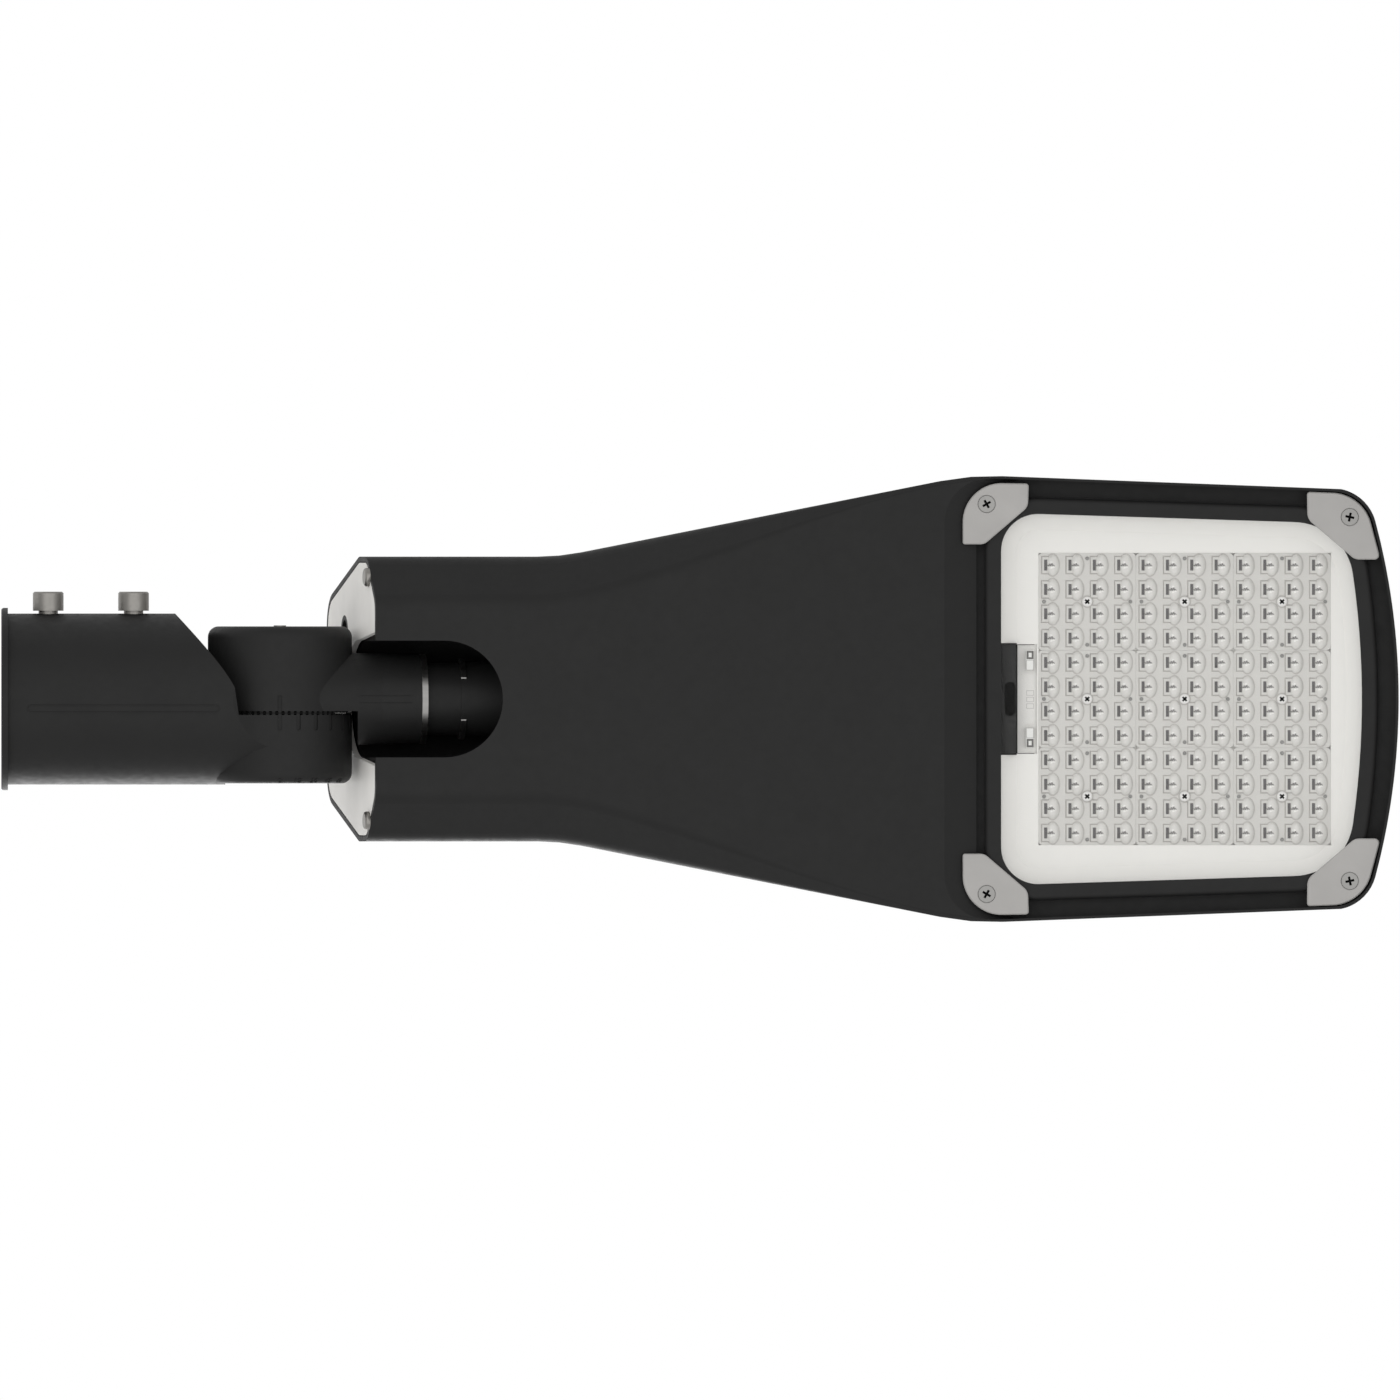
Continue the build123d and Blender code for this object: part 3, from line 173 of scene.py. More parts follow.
looks = {
    "dark_paint": powder_coat("dark_powder_coat", (0.0155, 0.0155, 0.0155), 0.52, 0.17),
    "screw_steel": metal("zinc_plated_steel", (0.27, 0.26, 0.245), 0.40),
    "ring_metal": metal("bright_ring", (0.27, 0.265, 0.26), 0.34, (0.1, 1, 1)),
    "plate_paint": powder_coat("light_powder_coat", (0.82, 0.805, 0.775), 0.5, 0.25),
    "seal_rubber": plastic("black_rubber", (0.010, 0.010, 0.010), 0.75, 0.2, 0.15, 0.00004),
    "dark_plastic": plastic("dark_plastic", (0.026, 0.026, 0.026), 0.6, 0.2, 0.08, 0.00003),
    "clear_glass": clear_glass("toughened_glass"),
    "white_tray": plastic("white_tray", (0.86, 0.85, 0.822), 0.6, 0.2, 0.01),
    "white_board": plastic("white_solder_mask", (0.79, 0.78, 0.755), 0.5, 0.3, 0.015),
    "chip": plastic("phosphor", (0.62, 0.50, 0.16), 0.5),
    "white_plastic": plastic("white_nylon", (0.82, 0.82, 0.80), 0.38),
    "lens_plastic": plastic("lens_plate", (0.63, 0.62, 0.595), 0.16, 0.4, 0.02, 0.00001),
    "corner_silver": powder_coat("silver_coat", (0.385, 0.375, 0.365), 0.45, 0.25),
    "tray_zinc": metal("zinc_sheet", (0.52, 0.54, 0.55), 0.4),
    "driver_case": plastic("driver_case", (0.62, 0.62, 0.60), 0.5),
    "surge_case": plastic("surge_case", (0.08, 0.09, 0.10), 0.55),
}
# The domes' lighter tone is painted light: the white board's light gathered through the clear lens. The bevel
# round each plate's face takes it too, as a painted highlight along the edge.
dome_painted_light_look = plastic("lens_dome_painted_light", (0.71, 0.70, 0.675), 0.10, 0.35, 0.02, 0.00001)
# A darker tone of the same lens plastic for the block's slopes, the dome's flange and the boss's side: painted
# shade.
rim_painted_shade_look = plastic("lens_rim_painted_shade", (0.50, 0.485, 0.465), 0.22, 0.3, 0.02, 0.00001)
# Light patches laid on the domes: painted highlights.
painted_glint_look = plastic("lens_painted_glint", (0.86, 0.85, 0.83), 0.12, 0.4, 0.01, 0.00001)
# Near-black tone of the slot in each block: painted shade.
slot_painted_shade_look = plastic("lens_slot_painted_shade", (0.15, 0.145, 0.145), 0.3, 0.3, 0.10, 0.00001)
# Dark tone for the chip's image on each dome, a painted refraction image, and for the small raised ticks on the
# plate.
chip_image_and_tick_look = plastic("lens_chip_image_and_ticks", (0.24, 0.235, 0.23), 0.3, 0.2, 0.20, 0.00001)
# Near black for screw recesses and the gap round the corner screws' heads: painted shade.
recess_painted_shade_look = plastic("recess_painted_shade", (0.004, 0.004, 0.004), 0.8, 0.1, 0.1)
pin_look = plastic("locating_pin", (0.26, 0.26, 0.25), 0.4)

slot_of = {s["node"]: s["material_slot"] for s in frame["record"]["subparts"]}
SMOOTH_BELOW = math.radians(32)
for name, node in nodes.items():
    node.data.materials.clear()
    node.data.materials.append(looks[slot_of[name]])
    node.data.polygons.foreach_set("use_smooth", [True] * len(node.data.polygons))
    node.data.set_sharp_from_angle(angle=SMOOTH_BELOW)


# Mesh helpers: every piece is made in the row frame, in metres
class Shape:
    """Vertices and faces gathered from simple closed forms, one material index each."""

    def __init__(self):
        self.points = []
        self.faces = []
        self.kinds = []

    def rings(self, rings, kinds=0, close_start=True, close_end=True):
        """Joins equal rings of points, and closes the two ends."""
        count = len(rings[0])
        points = [p for ring in rings for p in ring]
        kinds = [kinds] * (len(rings) + 1) if isinstance(kinds, int) else kinds
        start = len(self.points)
        self.points += points
        for r in range(len(rings) - 1):
            for i in range(count):
                j = (i + 1) % count
                face = (r * count + i, r * count + j, (r + 1) * count + j, (r + 1) * count + i)
                self.faces.append(tuple(start + k for k in face))
                self.kinds.append(kinds[r + 1])
        if close_start:
            self.faces.append(tuple(start + i for i in reversed(range(count))))
            self.kinds.append(kinds[0])
        if close_end:
            last = (len(rings) - 1) * count
            self.faces.append(tuple(start + last + i for i in range(count)))
            self.kinds.append(kinds[-1])


def finish_piece(shape, name, materials, body, replaces=()):
    """Makes the object, with outward faces, and lets it ride on its body."""
    mesh = bpy.data.meshes.new(name)
    mesh.from_pydata([tuple(p) for p in shape.points], [], shape.faces)
    for look in materials:
        mesh.materials.append(look)
    mesh.polygons.foreach_set("material_index", shape.kinds)
    work = bmesh.new()
    work.from_mesh(mesh)
    bmesh.ops.recalc_face_normals(work, faces=work.faces)
    work.to_mesh(mesh)
    work.free()
    mesh.polygons.foreach_set("use_smooth", [True] * len(mesh.polygons))
    mesh.set_sharp_from_angle(angle=SMOOTH_BELOW)
    made = bpy.data.objects.new(name, mesh)
    scene.collection.objects.link(made)
    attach(made, body)
    if replaces:
        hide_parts(*replaces)
    return made


def circle_ring(centre, radius, along, start, count, turn=0.0):
    """A ring of points round an axis."""
    side = Vector((0, 1, 0)) if abs(along.y) < 0.9 else Vector((1, 0, 0))
    first = along.cross(side).normalized()
    second = along.cross(first)
    points = []
    for i in range(count):
        angle = turn + 2 * math.pi * i / count
        points.append(centre + along * start + first * (radius * math.cos(angle))
                      + second * (radius * math.sin(angle)))
    return points


def rounded_rectangle(half_x, half_y, radius, steps=4):
    """Points round a rectangle with round corners."""
    points = []
    for corner, (sx, sy) in enumerate([(1, 1), (-1, 1), (-1, -1), (1, -1)]):
        for step in range(steps + 1):
            angle = math.pi / 2 * (corner + step / steps)
            points.append((sx * (half_x - radius) + radius * math.cos(angle),
                           sy * (half_y - radius) + radius * math.sin(angle)))
    return points


def lift(outline, z, centre=(0, 0)):
    """Puts flat points at a level."""
    return [Vector((centre[0] + x, centre[1] + y, z)) for x, y in outline]


# Lens plates: base, and for each chip a sloped block with a slot painted dark as shade and a D-shaped dome
LENS_MODULES = 9
LENS_PITCH = 12.5 * MM
LENS_ROWS = 4
LENS_MIDDLE = (LENS_ROWS - 1) / 2
PLATE_HALF = 24.96 * MM
PLATE_THICKNESS = 2.0 * MM
PLATE_CORNER = 2 * MM
PLATE_BEVEL_IN = 0.15 * MM
PLATE_BEVEL_DOWN = 0.12 * MM
PLATE_LIFT = 0.05 * MM
BLOCK_LEFT = -4.95 * MM
BLOCK_RIGHT = 0.6 * MM
BLOCK_HALF = 4.75 * MM
BLOCK_SLOPE = 0.65 * MM
BLOCK_HEIGHT = 0.9 * MM
SLOT_LEFT = -3.37 * MM
SLOT_RIGHT = -1.83 * MM
SLOT_HALF = 2.8 * MM
SLOT_DEPTH = 0.55 * MM
DOME_X = 0.95 * MM
DOME_HALF_X = 3.4 * MM
DOME_HALF_Y = 5.55 * MM
DOME_HEIGHT = 2.4 * MM
DOME_CUT = -1.6 * MM
DOME_POWER = 0.62
BLOCK_SINK = 0.1 * MM
FLANGE_STEP = 0.5 * MM
FLANGE_HEIGHT = 0.2 * MM
FLANGE_WALL_SHARE = 0.6
FLANGE_TOP_SHARE = 0.5
DOME_SEGMENTS = 28
DOME_RINGS = 6
# Path and widths in mm of the chip's dark image across each dome: a painted refraction image, not a mark on the
# lens.
CHIP_IMAGE_POINTS = [(-1.80, 0.10), (-1.25, 0.05), (-1.00, 0.55), (-0.45, -0.65), (-0.05, 0.60), (0.75, -0.95),
               (0.95, 0.50), (1.45, -0.20), (2.05, 0.55)]
CHIP_IMAGE_WIDTHS = [0.35, 0.85, 0.75, 0.75, 0.6, 0.55, 0.5, 0.4]
# Light patches on each dome, as x, y, half x and half y in mm: painted highlights.
PAINTED_GLINTS = [(-0.2, -1.45, 1.15, 0.5), (-0.1, 1.35, 1.2, 0.55), (1.6, 1.1, 0.6, 0.3)]
GLINT_POINTS = 14
PAINTED_PATCH_SINK = 0.05 * MM
GLINT_RISE = 0.03 * MM
PIN_RADIUS = 1.0 * MM
PIN_INSET = 2.8 * MM
PIN_PROFILE = [(PIN_RADIUS, 0), (PIN_RADIUS, 0.4 * MM), (PIN_RADIUS * 0.7, 0.6 * MM)]
PIN_SIDES = 16
BOSS_RADIUS = 3.1 * MM
BOSS_PROFILE = [(BOSS_RADIUS, 0), (BOSS_RADIUS, 0.5 * MM), (BOSS_RADIUS - 0.4 * MM, 0.8 * MM)]
BOSS_SIDES = 32
TICK_X = 2.4 * MM
TICK_Y = 3.9 * MM
TICK_STEP = 1.1 * MM
TICK_LEAN = 0.4
TICK_LENGTH = 1.8 * MM
TICK_HALF_WIDTH = 0.12 * MM
TICK_HEIGHT = 0.35 * MM
BODY, DOME, RIM, SLOT, CHIP_IMAGE_AND_TICK, PIN, PAINTED_GLINT = range(7)


def dome_height_at(x, y):
    """How far the dome stands out of the plate at a place in its cell."""
    share = 1 - ((x - DOME_X) / DOME_HALF_X) ** 2 - (y / DOME_HALF_Y) ** 2
    return FLANGE_HEIGHT + DOME_HEIGHT * max(share, 0) ** DOME_POWER


def lens_cell(shape, centre, face_z):
    """One lens: block, slot, flange, dome, a painted dark image of the chip across the dome and light patches as
    painted highlights.
    """
    cx, cy = centre
    left, right = cx + BLOCK_LEFT, cx + BLOCK_RIGHT
    slope = BLOCK_SLOPE
    low = [(left, cy - BLOCK_HALF), (right, cy - BLOCK_HALF),
           (right, cy + BLOCK_HALF), (left, cy + BLOCK_HALF)]
    high = [(left + slope, cy - BLOCK_HALF + slope), (right, cy - BLOCK_HALF + slope),
            (right, cy + BLOCK_HALF - slope), (left + slope, cy + BLOCK_HALF - slope)]
    # The slot's walls and floor are near black: painted shade.
    slot = [(cx + SLOT_LEFT, cy - SLOT_HALF), (cx + SLOT_RIGHT, cy - SLOT_HALF),
            (cx + SLOT_RIGHT, cy + SLOT_HALF), (cx + SLOT_LEFT, cy + SLOT_HALF)]
    top_z = face_z - BLOCK_HEIGHT
    rings = [lift(low, face_z + BLOCK_SINK), lift(low, face_z), lift(high, top_z), lift(slot, top_z),
             lift(slot, top_z + SLOT_DEPTH)]
    # The block's sloped sides take the darker rim tone: painted shade.
    shape.rings(rings, [BODY, BODY, RIM, BODY, SLOT, SLOT])
    flange = []
    for grow, z in [(FLANGE_STEP, face_z), (FLANGE_STEP, face_z - FLANGE_HEIGHT * FLANGE_WALL_SHARE),
                    (FLANGE_STEP * FLANGE_TOP_SHARE, face_z - FLANGE_HEIGHT), (0, face_z - FLANGE_HEIGHT)]:
        flange.append([Vector((max(cx + DOME_X + (DOME_HALF_X + grow) * math.cos(a), cx + DOME_CUT),
                               cy + (DOME_HALF_Y + grow) * math.sin(a), z))
                       for a in [2 * math.pi * i / DOME_SEGMENTS for i in range(DOME_SEGMENTS)]])
    # The flange takes the darker rim tone: painted shade.
    shape.rings(flange, RIM)
    rings = []
    for r in range(DOME_RINGS):
        angle = math.pi / 2 * r / DOME_RINGS
        ring = []
        for i in range(DOME_SEGMENTS):
            a = 2 * math.pi * i / DOME_SEGMENTS
            x = max(DOME_X + DOME_HALF_X * math.cos(angle) * math.cos(a), DOME_CUT)
            y = DOME_HALF_Y * math.cos(angle) * math.sin(a)
            z = face_z - FLANGE_HEIGHT - DOME_HEIGHT * math.sin(angle) ** (2 * DOME_POWER)
            ring.append(Vector((cx + x, cy + y, z)))
        rings.append(ring)
    shape.rings(rings, DOME)
    # The chip's image as seen through the clear dome, painted on as dark strips.
    for k in range(len(CHIP_IMAGE_POINTS) - 1):
        (x0, y0), (x1, y1) = [(x * MM, y * MM) for x, y in CHIP_IMAGE_POINTS[k:k + 2]]
        length = math.hypot(x1 - x0, y1 - y0)
        across = Vector(((y0 - y1) / length, (x1 - x0) / length)) * CHIP_IMAGE_WIDTHS[k] * MM / 2
        strip = []
        for x, y in [(x0 - across.x, y0 - across.y), (x1 - across.x, y1 - across.y),
                     (x1 + across.x, y1 + across.y), (x0 + across.x, y0 + across.y)]:
            strip.append((cx + x, cy + y, face_z - dome_height_at(x, y)))
        over = [Vector((x, y, z - PAINTED_PATCH_SINK)) for x, y, z in strip]
        under = [Vector((x, y, z + PAINTED_PATCH_SINK)) for x, y, z in strip]
        shape.rings([under, over], CHIP_IMAGE_AND_TICK)
    # Light patches on the dome, raised a little off its surface: painted highlights.
    for x, y, half_x, half_y in [[v * MM for v in glint] for glint in PAINTED_GLINTS]:
        spot = []
        for i in range(GLINT_POINTS):
            a = 2 * math.pi * i / GLINT_POINTS
            at_x, at_y = x + half_x * math.cos(a), y + half_y * math.sin(a)
            spot.append(Vector((cx + at_x, cy + at_y, face_z - dome_height_at(at_x, at_y))))
        under = [p + Vector((0, 0, PAINTED_PATCH_SINK)) for p in spot]
        over = [p - Vector((0, 0, GLINT_RISE)) for p in spot]
        shape.rings([under, over], PAINTED_GLINT)


def lens_plate(number, centre):
    """One plate of four by four lenses, with its locating pins and screw boss."""
    face_z = board_face_z - PLATE_THICKNESS
    inner_half = PLATE_HALF - PLATE_BEVEL_IN
    outline = rounded_rectangle(PLATE_HALF, PLATE_HALF, PLATE_CORNER)
    inner = rounded_rectangle(inner_half, inner_half, PLATE_CORNER - PLATE_BEVEL_IN)
    shape = Shape()
    # The bevel between the plate's side and face takes the dome's lighter tone: a painted highlight.
    shape.rings([lift(outline, board_face_z - PLATE_LIFT, centre),
                 lift(outline, face_z + PLATE_BEVEL_DOWN, centre),
                 lift(inner, face_z, centre)], [BODY, BODY, DOME, BODY])
    for row in range(LENS_ROWS):
        for column in range(LENS_ROWS):
            place = [centre[0] + (column - LENS_MIDDLE) * LENS_PITCH,
                     centre[1] + (row - LENS_MIDDLE) * LENS_PITCH]
            lens_cell(shape, place, face_z)
    edge = PLATE_HALF - PIN_INSET
    down = Vector((0, 0, -1))
    for x, y in [(-edge, 0), (edge, 0), (0, -edge), (0, edge)]:
        place = Vector((centre[0] + x, centre[1] + y, face_z))
        shape.rings([circle_ring(place, radius, down, height, PIN_SIDES) for radius, height in PIN_PROFILE],
                    PIN)
    # The boss's side takes the darker rim tone, painted shade; its top is plain lens plastic.
    place = Vector((centre[0], centre[1], face_z))
    shape.rings([circle_ring(place, radius, down, height, BOSS_SIDES) for radius, height in BOSS_PROFILE],
                [RIM, RIM, RIM, BODY])
    for side in (1, -1):
        for offset in (0, TICK_STEP):
            start = Vector((centre[0] + TICK_X + offset,
                            centre[1] + side * (TICK_Y - offset * TICK_LEAN), face_z))
            along = Vector((1, -side, 0)).normalized() * TICK_LENGTH
            across = Vector((side, 1, 0)).normalized() * TICK_HALF_WIDTH
            low = [start - along / 2 - across, start + along / 2 - across, start + along / 2 + across,
                   start - along / 2 + across]
            shape.rings([low, [p + down * TICK_HEIGHT for p in low]], CHIP_IMAGE_AND_TICK)
    materials = [looks["lens_plastic"], dome_painted_light_look, rim_painted_shade_look, slot_painted_shade_look, chip_image_and_tick_look,
                 pin_look, painted_glint_look]
    node = f"lens_module_{number}"
    finish_piece(shape, f"lens_plate_{number}", materials, "luminaire", replaces=[node])


module_centres = []
for number in range(1, LENS_MODULES + 1):
    low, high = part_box(f"lens_module_{number}")
    module_centres.append(((low.x + high.x) / 2, (low.y + high.y) / 2))
    lens_plate(number, module_centres[-1])


# Screws with a cross recess
def cross_ring(centre, along, depth, half_length, half_width, turn):
    """Twelve points round a cross."""
    side = Vector((math.cos(turn), math.sin(turn), 0))
    other = along.cross(side)
    a, b = half_length, half_width
    flat = [(a, b), (b, b), (b, a), (-b, a), (-b, b), (-a, b),
            (-a, -b), (-b, -b), (-b, -a), (b, -a), (b, -b), (a, -b)]
    return [centre + along * depth + side * x + other * y for x, y in flat]


HEAD_SIDES = 48
CROSS_POINTS = 12
CROSS_FLOOR_LENGTH = 0.7
CROSS_FLOOR_WIDTH = 0.8


def cross_screw_head(shape, centre, along, profile, cross_half, cross_width, depth, turn, kinds=0):
    """A turned head, with a cross recess sunk into its flat top."""
    sides = HEAD_SIDES
    rings = [circle_ring(centre, radius, along, height, sides, turn) for radius, height in profile]
    shape.rings(rings, kinds, close_end=False)
    top = profile[-1]
    cross = cross_ring(centre, along, top[1], cross_half, cross_width, turn)
    floor = cross_ring(centre, along, top[1] - depth, cross_half * CROSS_FLOOR_LENGTH,
                       cross_width * CROSS_FLOOR_WIDTH, turn)
    rim = rings[-1]
    start = len(shape.points)
    shape.points += rim + cross
    nearest = []
    for p in rim:
        nearest.append(min(range(CROSS_POINTS), key=lambda k: (cross[k] - p).length))
    for i in range(sides):
        j = (i + 1) % sides
        a, b = nearest[i], nearest[j]
        if a == b:
            shape.faces.append((start + i, start + j, start + sides + a))
            shape.kinds.append(0)
            continue
        steps = (b - a) % CROSS_POINTS
        if steps <= CROSS_POINTS // 2:
            chain = [(a + s) % CROSS_POINTS for s in range(steps + 1)]
        else:
            chain = [(a - s) % CROSS_POINTS for s in range((a - b) % CROSS_POINTS + 1)]
        shape.faces.append((start + i, start + j, start + sides + chain[-1]))
        shape.kinds.append(0)
        for s in range(len(chain) - 1):
            shape.faces.append((start + i, start + sides + chain[s + 1], start + sides + chain[s]))
            shape.kinds.append(0)
    # The cross recess's walls and floor take the second material, near black: painted shade.
    shape.rings([cross, floor], 1, close_start=False)


# Radius and height of each ring of a head, then the cross's half length, half width and depth
LENS_HEAD = [(2.2 * MM, 0.2 * MM), (2.6 * MM, 0.9 * MM), (2.5 * MM, 1.4 * MM), (2.1 * MM, 1.8 * MM),
             (1.95 * MM, 1.85 * MM)]
LENS_CROSS = (1.45 * MM, 0.5 * MM, 0.95 * MM)
LENS_CROSS_TURN = 45
down = Vector((0, 0, -1))
shape = Shape()
for x, y in module_centres:
    place = Vector((x, y, board_face_z - PLATE_THICKNESS))
    cross_screw_head(shape, place, down, LENS_HEAD, *LENS_CROSS, math.radians(LENS_CROSS_TURN))
bright_screw = plastic("bright_zinc", (0.78, 0.77, 0.755), 0.4)
finish_piece(shape, "lens_plate_screws", [bright_screw, recess_painted_shade_look], "luminaire",
             replaces=["lens_screws"])

CORNER_SCREWS = [(505.8, 100.1, 30), (505.8, -100.1, 60), (692.2, 93.4, 78), (692.2, -93.4, 12)]
CORNER_HEAD = [(2.5 * MM, -2.3 * MM), (4.55 * MM, -0.4 * MM), (4.25 * MM, -0.4 * MM), (4.3 * MM, -0.1 * MM),
               (4.15 * MM, 0.05 * MM), (3.7 * MM, 0.0)]
# Kind 1 is near black: painted shade in the gap round the head.
CORNER_HEAD_KINDS = [0, 1, 1, 1, 0, 0, 0]
CORNER_CROSS = (2.3 * MM, 0.6 * MM, 1.8 * MM)
corner_face_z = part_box("corner_screws")[0].z
shape = Shape()
for x, y, turn in CORNER_SCREWS:
    place = Vector((x * MM, y * MM, corner_face_z))
    cross_screw_head(shape, place, down, CORNER_HEAD, *CORNER_CROSS, math.radians(turn), CORNER_HEAD_KINDS)
head_look = powder_coat("screw_head_coat", (0.33, 0.325, 0.315), 0.45, 0.35)
finish_piece(shape, "corner_screw_heads", [head_look, recess_painted_shade_look], "luminaire",
             replaces=["corner_screws"])


# White lip that closes the gap between the tray's opening and the lens plates
TRAY_FLOOR_Z = -27.2 * MM
LIP_OUTER = 75.8 * MM
LIP_INNER = 74.98 * MM
LIP_SINK = 0.4 * MM
LIP_RISE = 0.06 * MM
field_centre = (sum(x for x, y in module_centres) / LENS_MODULES,
                sum(y for x, y in module_centres) / LENS_MODULES)


def flat_frame(shape, centre, half_x, half_y, width, z_back, z_face, kind=0):
    """A thin rectangular frame with square corners."""
    outer = [(half_x, half_y), (-half_x, half_y), (-half_x, -half_y), (half_x, -half_y)]
    inner = [(half_x - width, half_y - width), (width - half_x, half_y - width),
             (width - half_x, width - half_y), (half_x - width, width - half_y)]
    loops = [lift(outer, z_back, centre), lift(outer, z_face, centre), lift(inner, z_face, centre),
             lift(inner, z_back, centre)]
    shape.rings(loops + [loops[0]], kind, close_start=False, close_end=False)


shape = Shape()
flat_frame(shape, field_centre, LIP_OUTER, LIP_OUTER, LIP_OUTER - LIP_INNER, TRAY_FLOOR_Z + LIP_SINK,
           TRAY_FLOOR_Z - LIP_RISE)
finish_piece(shape, "tray_lip", [looks["white_tray"]], "luminaire")

# Wire connectors: an outline round each body, and a dark mouth, painted shade in the opening, with a light tongue.
# Each frame has its half sizes along x and y, and the width of its line.
CONNECTOR_X = 528.1 * MM
CONNECTOR_BODY_Y = 17.4 * MM
CONNECTOR_MOUTH_Y = 22.6 * MM
BODY_FRAME = (2.0 * MM, 2.7 * MM, 0.3 * MM)
MOUTH_FRAME = (1.75 * MM, 2.1 * MM, 0.95 * MM)
CONNECTOR_SINK = 0.1 * MM
CONNECTOR_RISE = 0.08 * MM
PAD_PITCH = 3.35 * MM
PAD_SHIFT = 0.25 * MM
PAD_FRAME = (1.9 * MM, 1.3 * MM, 0.25 * MM)
PAD_SINK = 0.05 * MM
PAD_RISE = 0.04 * MM
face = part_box("wire_connectors")[0].z
shape = Shape()
for side in (-1, 1):
    body = (CONNECTOR_X, side * CONNECTOR_BODY_Y)
    mouth = (CONNECTOR_X, side * CONNECTOR_MOUTH_Y)
    flat_frame(shape, body, *BODY_FRAME, face + CONNECTOR_SINK, face - CONNECTOR_RISE, 0)
    flat_frame(shape, mouth, *MOUTH_FRAME, face + CONNECTOR_SINK, face - CONNECTOR_RISE, 1)
for row in (-1, 0, 1):
    flat_frame(shape, (CONNECTOR_X, row * PAD_PITCH + PAD_SHIFT), *PAD_FRAME, board_face_z + PAD_SINK,
               board_face_z - PAD_RISE, 0)
outline_look = plastic("faint_outline", (0.50, 0.49, 0.475), 0.5, 0.2)
# The mouth's near-black tone is painted shade in the connector's opening.
mouth_painted_shade_look = plastic("connector_mouth_painted_shade", (0.16, 0.155, 0.15), 0.6, 0.2)
finish_piece(shape, "connector_details", [outline_look, mouth_painted_shade_look], "luminaire")


# Raised lines on the castings, with their half widths and heights
RIB_SECTION = [(-1, -0.5), (-0.8, 0.7), (-0.4, 1), (0.4, 1), (0.8, 0.7), (1, -0.5)]
PILL_RIB = (0.35 * MM, 0.3 * MM)
ARM_RIB = (0.22 * MM, 0.2 * MM)


def outline_strip(shape, path, half_width, height, normal_at, closed):
    """A low rounded rib that follows a path of points on a surface."""
    count = len(path)
    rings = []
    for i, p in enumerate(path):
        before = path[(i - 1) % count] if closed or i else path[i]
        after = path[(i + 1) % count] if closed or i < count - 1 else path[i]
        along = (after - before).normalized()
        normal = normal_at(p)
        across = along.cross(normal).normalized()
        rings.append([p + across * (half_width * a) + normal * (height * b) for a, b in RIB_SECTION])
    if closed:
        rings.append(rings[0])
    shape.rings(rings, 0, close_start=not closed, close_end=not closed)


TUBE_RADIUS = 43.9 * MM
PILL = {"start": 13.6 * MM, "end": 112.0 * MM, "low": 3.2 * MM, "high": 6.8 * MM}
PILL_STEPS = 8


def tube_point(x, y):
    """A point on the underside of the pole tube."""
    return Vector((x, y, -math.sqrt(TUBE_RADIUS ** 2 - y * y)))


def tube_normal(point):
    return Vector((0, point.y, point.z)).normalized()


pill_radius = (PILL["high"] - PILL["low"]) / 2
pill_centre = (PILL["high"] + PILL["low"]) / 2
path = []
for x, turn in [(PILL["end"] - pill_radius, -90), (PILL["start"] + pill_radius, 90)]:
    for step in range(PILL_STEPS + 1):
        angle = math.radians(turn + 180 * step / PILL_STEPS)
        path.append(tube_point(x + pill_radius * math.cos(angle),
                               pill_centre + pill_radius * math.sin(angle)))
shape = Shape()
outline_strip(shape, path, *PILL_RIB, tube_normal, True)
finish_piece(shape, "adapter_outline", [looks["dark_paint"]], "adapter")

# Parting lines along the underside of the arm: its x, half width and half height at three places
ARM_ROOT = (150.0 * MM, 24.0 * MM, 34.0 * MM)
ARM_WAIST = (196.0 * MM, 23.4 * MM, 23.4 * MM)
ARM_TIP = (220.5 * MM, 22.5 * MM, 22.5 * MM)
ARM_LINES = (-1.7 * MM, 1.9 * MM)
ARM_LINE_MM = (184, 188, 192, 196, 201, 206, 211)


def arm_point(x, y):
    """A point on the underside of the arm."""
    start, end = (ARM_ROOT, ARM_WAIST) if x < ARM_WAIST[0] else (ARM_WAIST, ARM_TIP)
    share = (x - start[0]) / (end[0] - start[0])
    half_width = start[1] + (end[1] - start[1]) * share
    half_height = start[2] + (end[2] - start[2]) * share
    return Vector((x, y, -half_height * math.sqrt(1 - (y / half_width) ** 2)))


shape = Shape()
for y in ARM_LINES:
    path = [arm_point(x * MM, y) for x in ARM_LINE_MM]
    outline_strip(shape, path, *ARM_RIB, tube_normal, False)
finish_piece(shape, "arm_lines", [looks["dark_paint"]], "luminaire")

# Thin dark seal between the tips of the knuckle's teeth
SEAL_PLACE_Y = 7.2 * MM
SEAL_HALF = 0.16 * MM
SEAL_INNER = 28.9 * MM
SEAL_OUTER = 36.7 * MM
SEAL_SIDES = 96
across_teeth = Vector((0, 1, 0))
shape = Shape()
seal_place = Vector((pivot.x, SEAL_PLACE_Y, pivot.z))
seal_rings = [circle_ring(seal_place, radius, across_teeth, offset, SEAL_SIDES)
              for radius, offset in [(SEAL_INNER, -SEAL_HALF), (SEAL_OUTER, -SEAL_HALF),
                                     (SEAL_OUTER, SEAL_HALF), (SEAL_INNER, SEAL_HALF)]]
shape.rings(seal_rings + [seal_rings[0]], 0, close_start=False, close_end=False)
finish_piece(shape, "knuckle_seal", [looks["seal_rubber"]], "adapter")

# Numbers of the tilt scale, round the edge of the knuckle's outer half
SCALE_ANGLES = [0, 15, 30, 45, 60]
DISC_RADIUS = 37.0 * MM
DISC_EDGE = 5.5 * MM
DISC_FACE_Y = 43.3 * MM
EDGE_ANGLE = math.radians(50)
NUMBER_SIZE = 4.2 * MM
NUMBER_DEPTH = 0.25 * MM


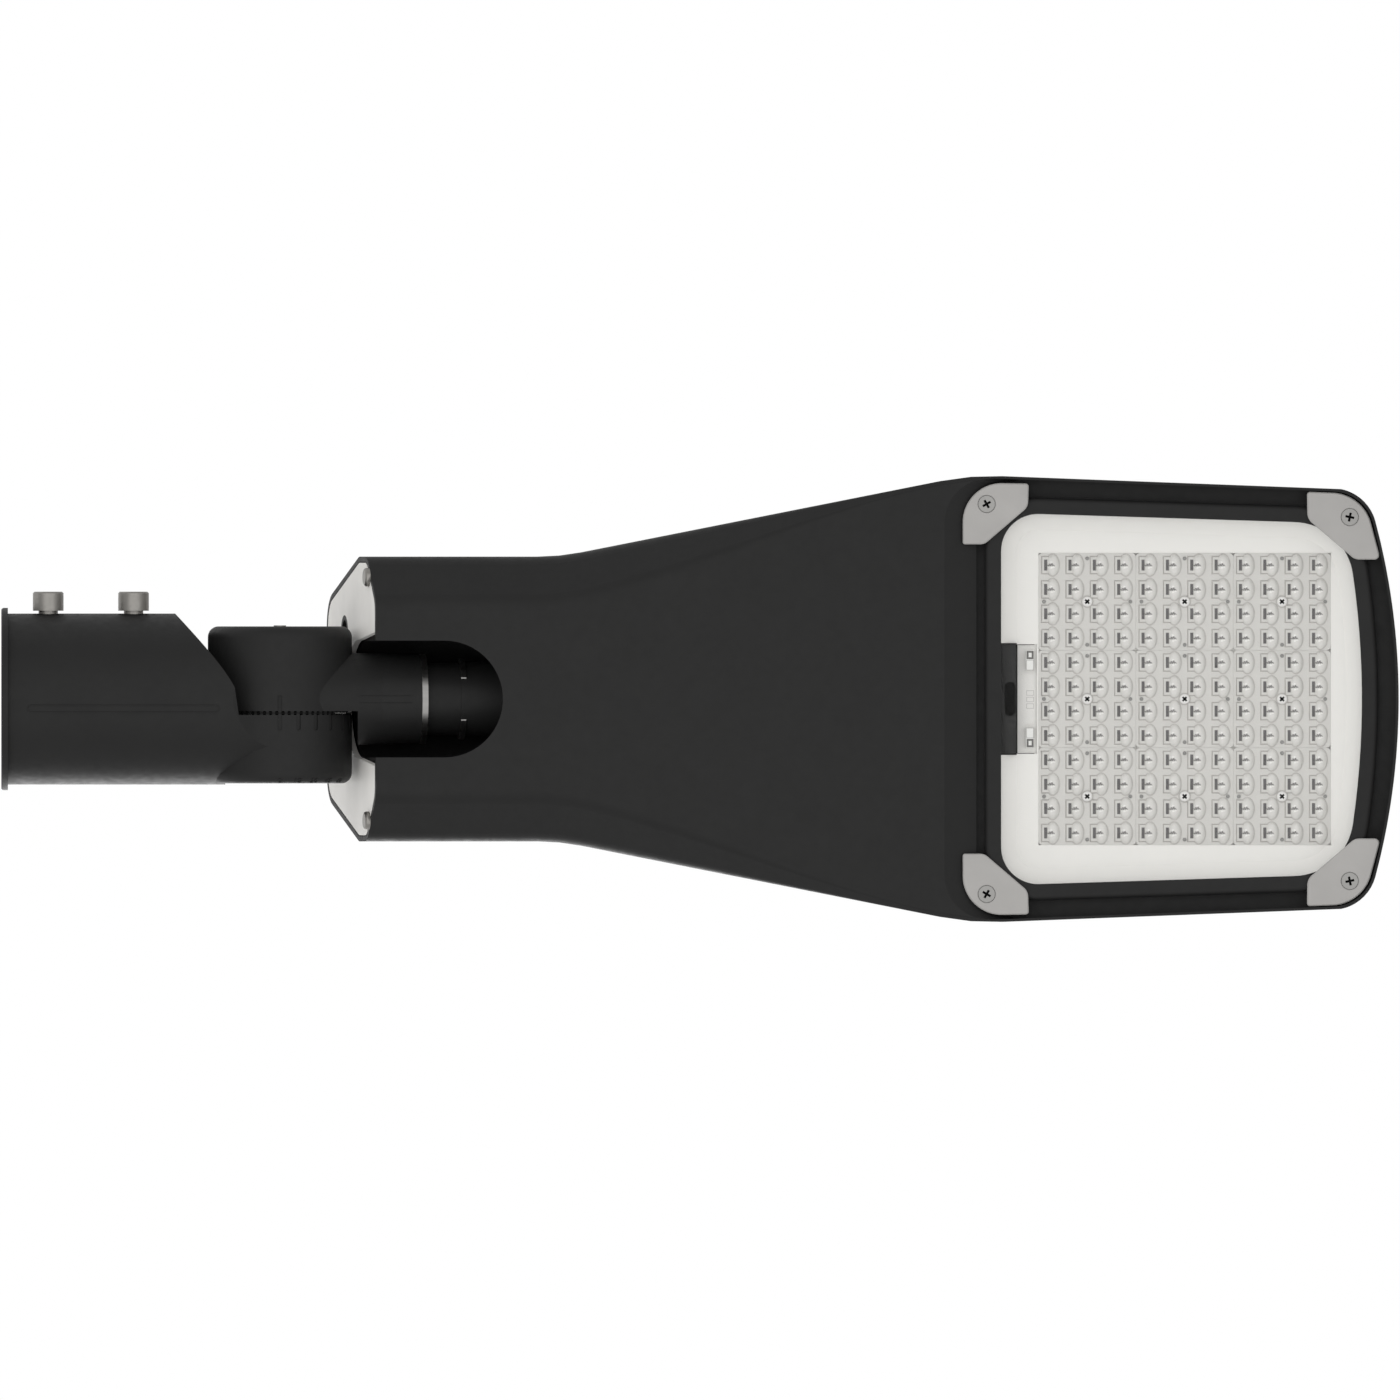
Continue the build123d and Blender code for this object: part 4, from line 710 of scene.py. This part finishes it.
def number_mesh(text):
    """The outline of a number as a thin solid mesh."""
    curve = bpy.data.curves.new("number", "FONT")
    curve.body = text
    curve.size = NUMBER_SIZE
    curve.extrude = NUMBER_DEPTH
    curve.align_x = "CENTER"
    curve.align_y = "CENTER"
    curve.resolution_u = 3
    holder = bpy.data.objects.new("number", curve)
    scene.collection.objects.link(holder)
    bpy.context.view_layer.update()
    made = bpy.data.meshes.new_from_object(holder)
    bpy.data.objects.remove(holder)
    return made


for value in SCALE_ANGLES:
    turn = math.radians(value)
    out = Vector((math.sin(turn), 0, -math.cos(turn)))
    side = Vector((0, 1, 0))
    normal = out * math.cos(EDGE_ANGLE) + side * math.sin(EDGE_ANGLE)
    up = out * math.sin(EDGE_ANGLE) - side * math.cos(EDGE_ANGLE)
    right = up.cross(normal)
    centre = pivot + out * (DISC_RADIUS - DISC_EDGE) + side * (DISC_FACE_Y - DISC_EDGE) + normal * DISC_EDGE
    mesh = number_mesh(str(value))
    place = Matrix((right, up, normal)).transposed().to_4x4()
    place.translation = centre
    mesh.transform(place)
    mesh.materials.clear()
    mesh.materials.append(looks["dark_paint"])
    number = bpy.data.objects.new(f"scale_number_{value}", mesh)
    scene.collection.objects.link(number)
    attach(number, "adapter")

# Floor far below, a surround that the camera sees as white and that lights one side more, and soft lamps
FLOOR_Z = -1.7
FLOOR_HALF = 8.0
floor_mesh = bpy.data.meshes.new("floor")
floor_corners = [(-FLOOR_HALF, -FLOOR_HALF, FLOOR_Z), (FLOOR_HALF, -FLOOR_HALF, FLOOR_Z),
                 (FLOOR_HALF, FLOOR_HALF, FLOOR_Z), (-FLOOR_HALF, FLOOR_HALF, FLOOR_Z)]
floor_mesh.from_pydata(floor_corners, [], [(0, 1, 2, 3)])
floor = bpy.data.objects.new("floor", floor_mesh)
scene.collection.objects.link(floor)
floor_mesh.materials.append(new_material("pale_floor", (0.78, 0.78, 0.77), 0.9, specular=0.1))

world = bpy.data.worlds.new("surround")
scene.world = world
world.use_nodes = True
tree = world.node_tree
background = tree.nodes["Background"]
background.inputs["Color"].default_value = (1, 1, 1, 1)
SURROUND_LOW = 0.66
SURROUND_HIGH = 1.0
SURROUND_SPAN = 0.8
BRIGHT_SIDE = (-0.9, 0.2, -0.38)
direction = tree.nodes.new("ShaderNodeTexCoord")
toward = tree.nodes.new("ShaderNodeVectorMath")
toward.operation = "DOT_PRODUCT"
toward.inputs[1].default_value = BRIGHT_SIDE
tree.links.new(direction.outputs["Generated"], toward.inputs[0])
surround = tree.nodes.new("ShaderNodeMapRange")
surround.inputs["From Min"].default_value = -SURROUND_SPAN
surround.inputs["From Max"].default_value = SURROUND_SPAN
surround.inputs["To Min"].default_value = SURROUND_LOW
surround.inputs["To Max"].default_value = SURROUND_HIGH
tree.links.new(toward.outputs["Value"], surround.inputs["Value"])
rays = tree.nodes.new("ShaderNodeLightPath")
plain = tree.nodes.new("ShaderNodeMath")
plain.operation = "MAXIMUM"
tree.links.new(rays.outputs["Is Camera Ray"], plain.inputs[0])
tree.links.new(rays.outputs["Is Transmission Ray"], plain.inputs[1])
strength = tree.nodes.new("ShaderNodeMix")
strength.inputs[3].default_value = 1.0
tree.links.new(plain.outputs["Value"], strength.inputs[0])
tree.links.new(surround.outputs["Result"], strength.inputs[2])
tree.links.new(strength.outputs[0], background.inputs["Strength"])


def lamp(name, place, size, power, target):
    """A soft square lamp that the camera doesn't see."""
    data = bpy.data.lights.new(name, "AREA")
    data.shape = "SQUARE"
    data.size = size
    data.energy = power
    made = bpy.data.objects.new(name, data)
    scene.collection.objects.link(made)
    made.location = place
    made.rotation_mode = "QUATERNION"
    made.rotation_quaternion = (Vector(target) - Vector(place)).to_track_quat("-Z", "Y")
    made.visible_camera = False


# Name, place, size and power of each lamp, all aimed at the middle of the part
MIDDLE = (0.36, 0, 0)
LAMPS = [("lamp_below", (0.36, 0, FLOOR_Z + 0.05), 3.0, 19), ("lamp_side", (0.1, 1.2, 1.55), 0.8, 6.5),
         ("lamp_above", (0.1, 0.5, 2.0), 1.5, 12)]
for name, place, size, power in LAMPS:
    lamp(name, place, size, power, MIDDLE)
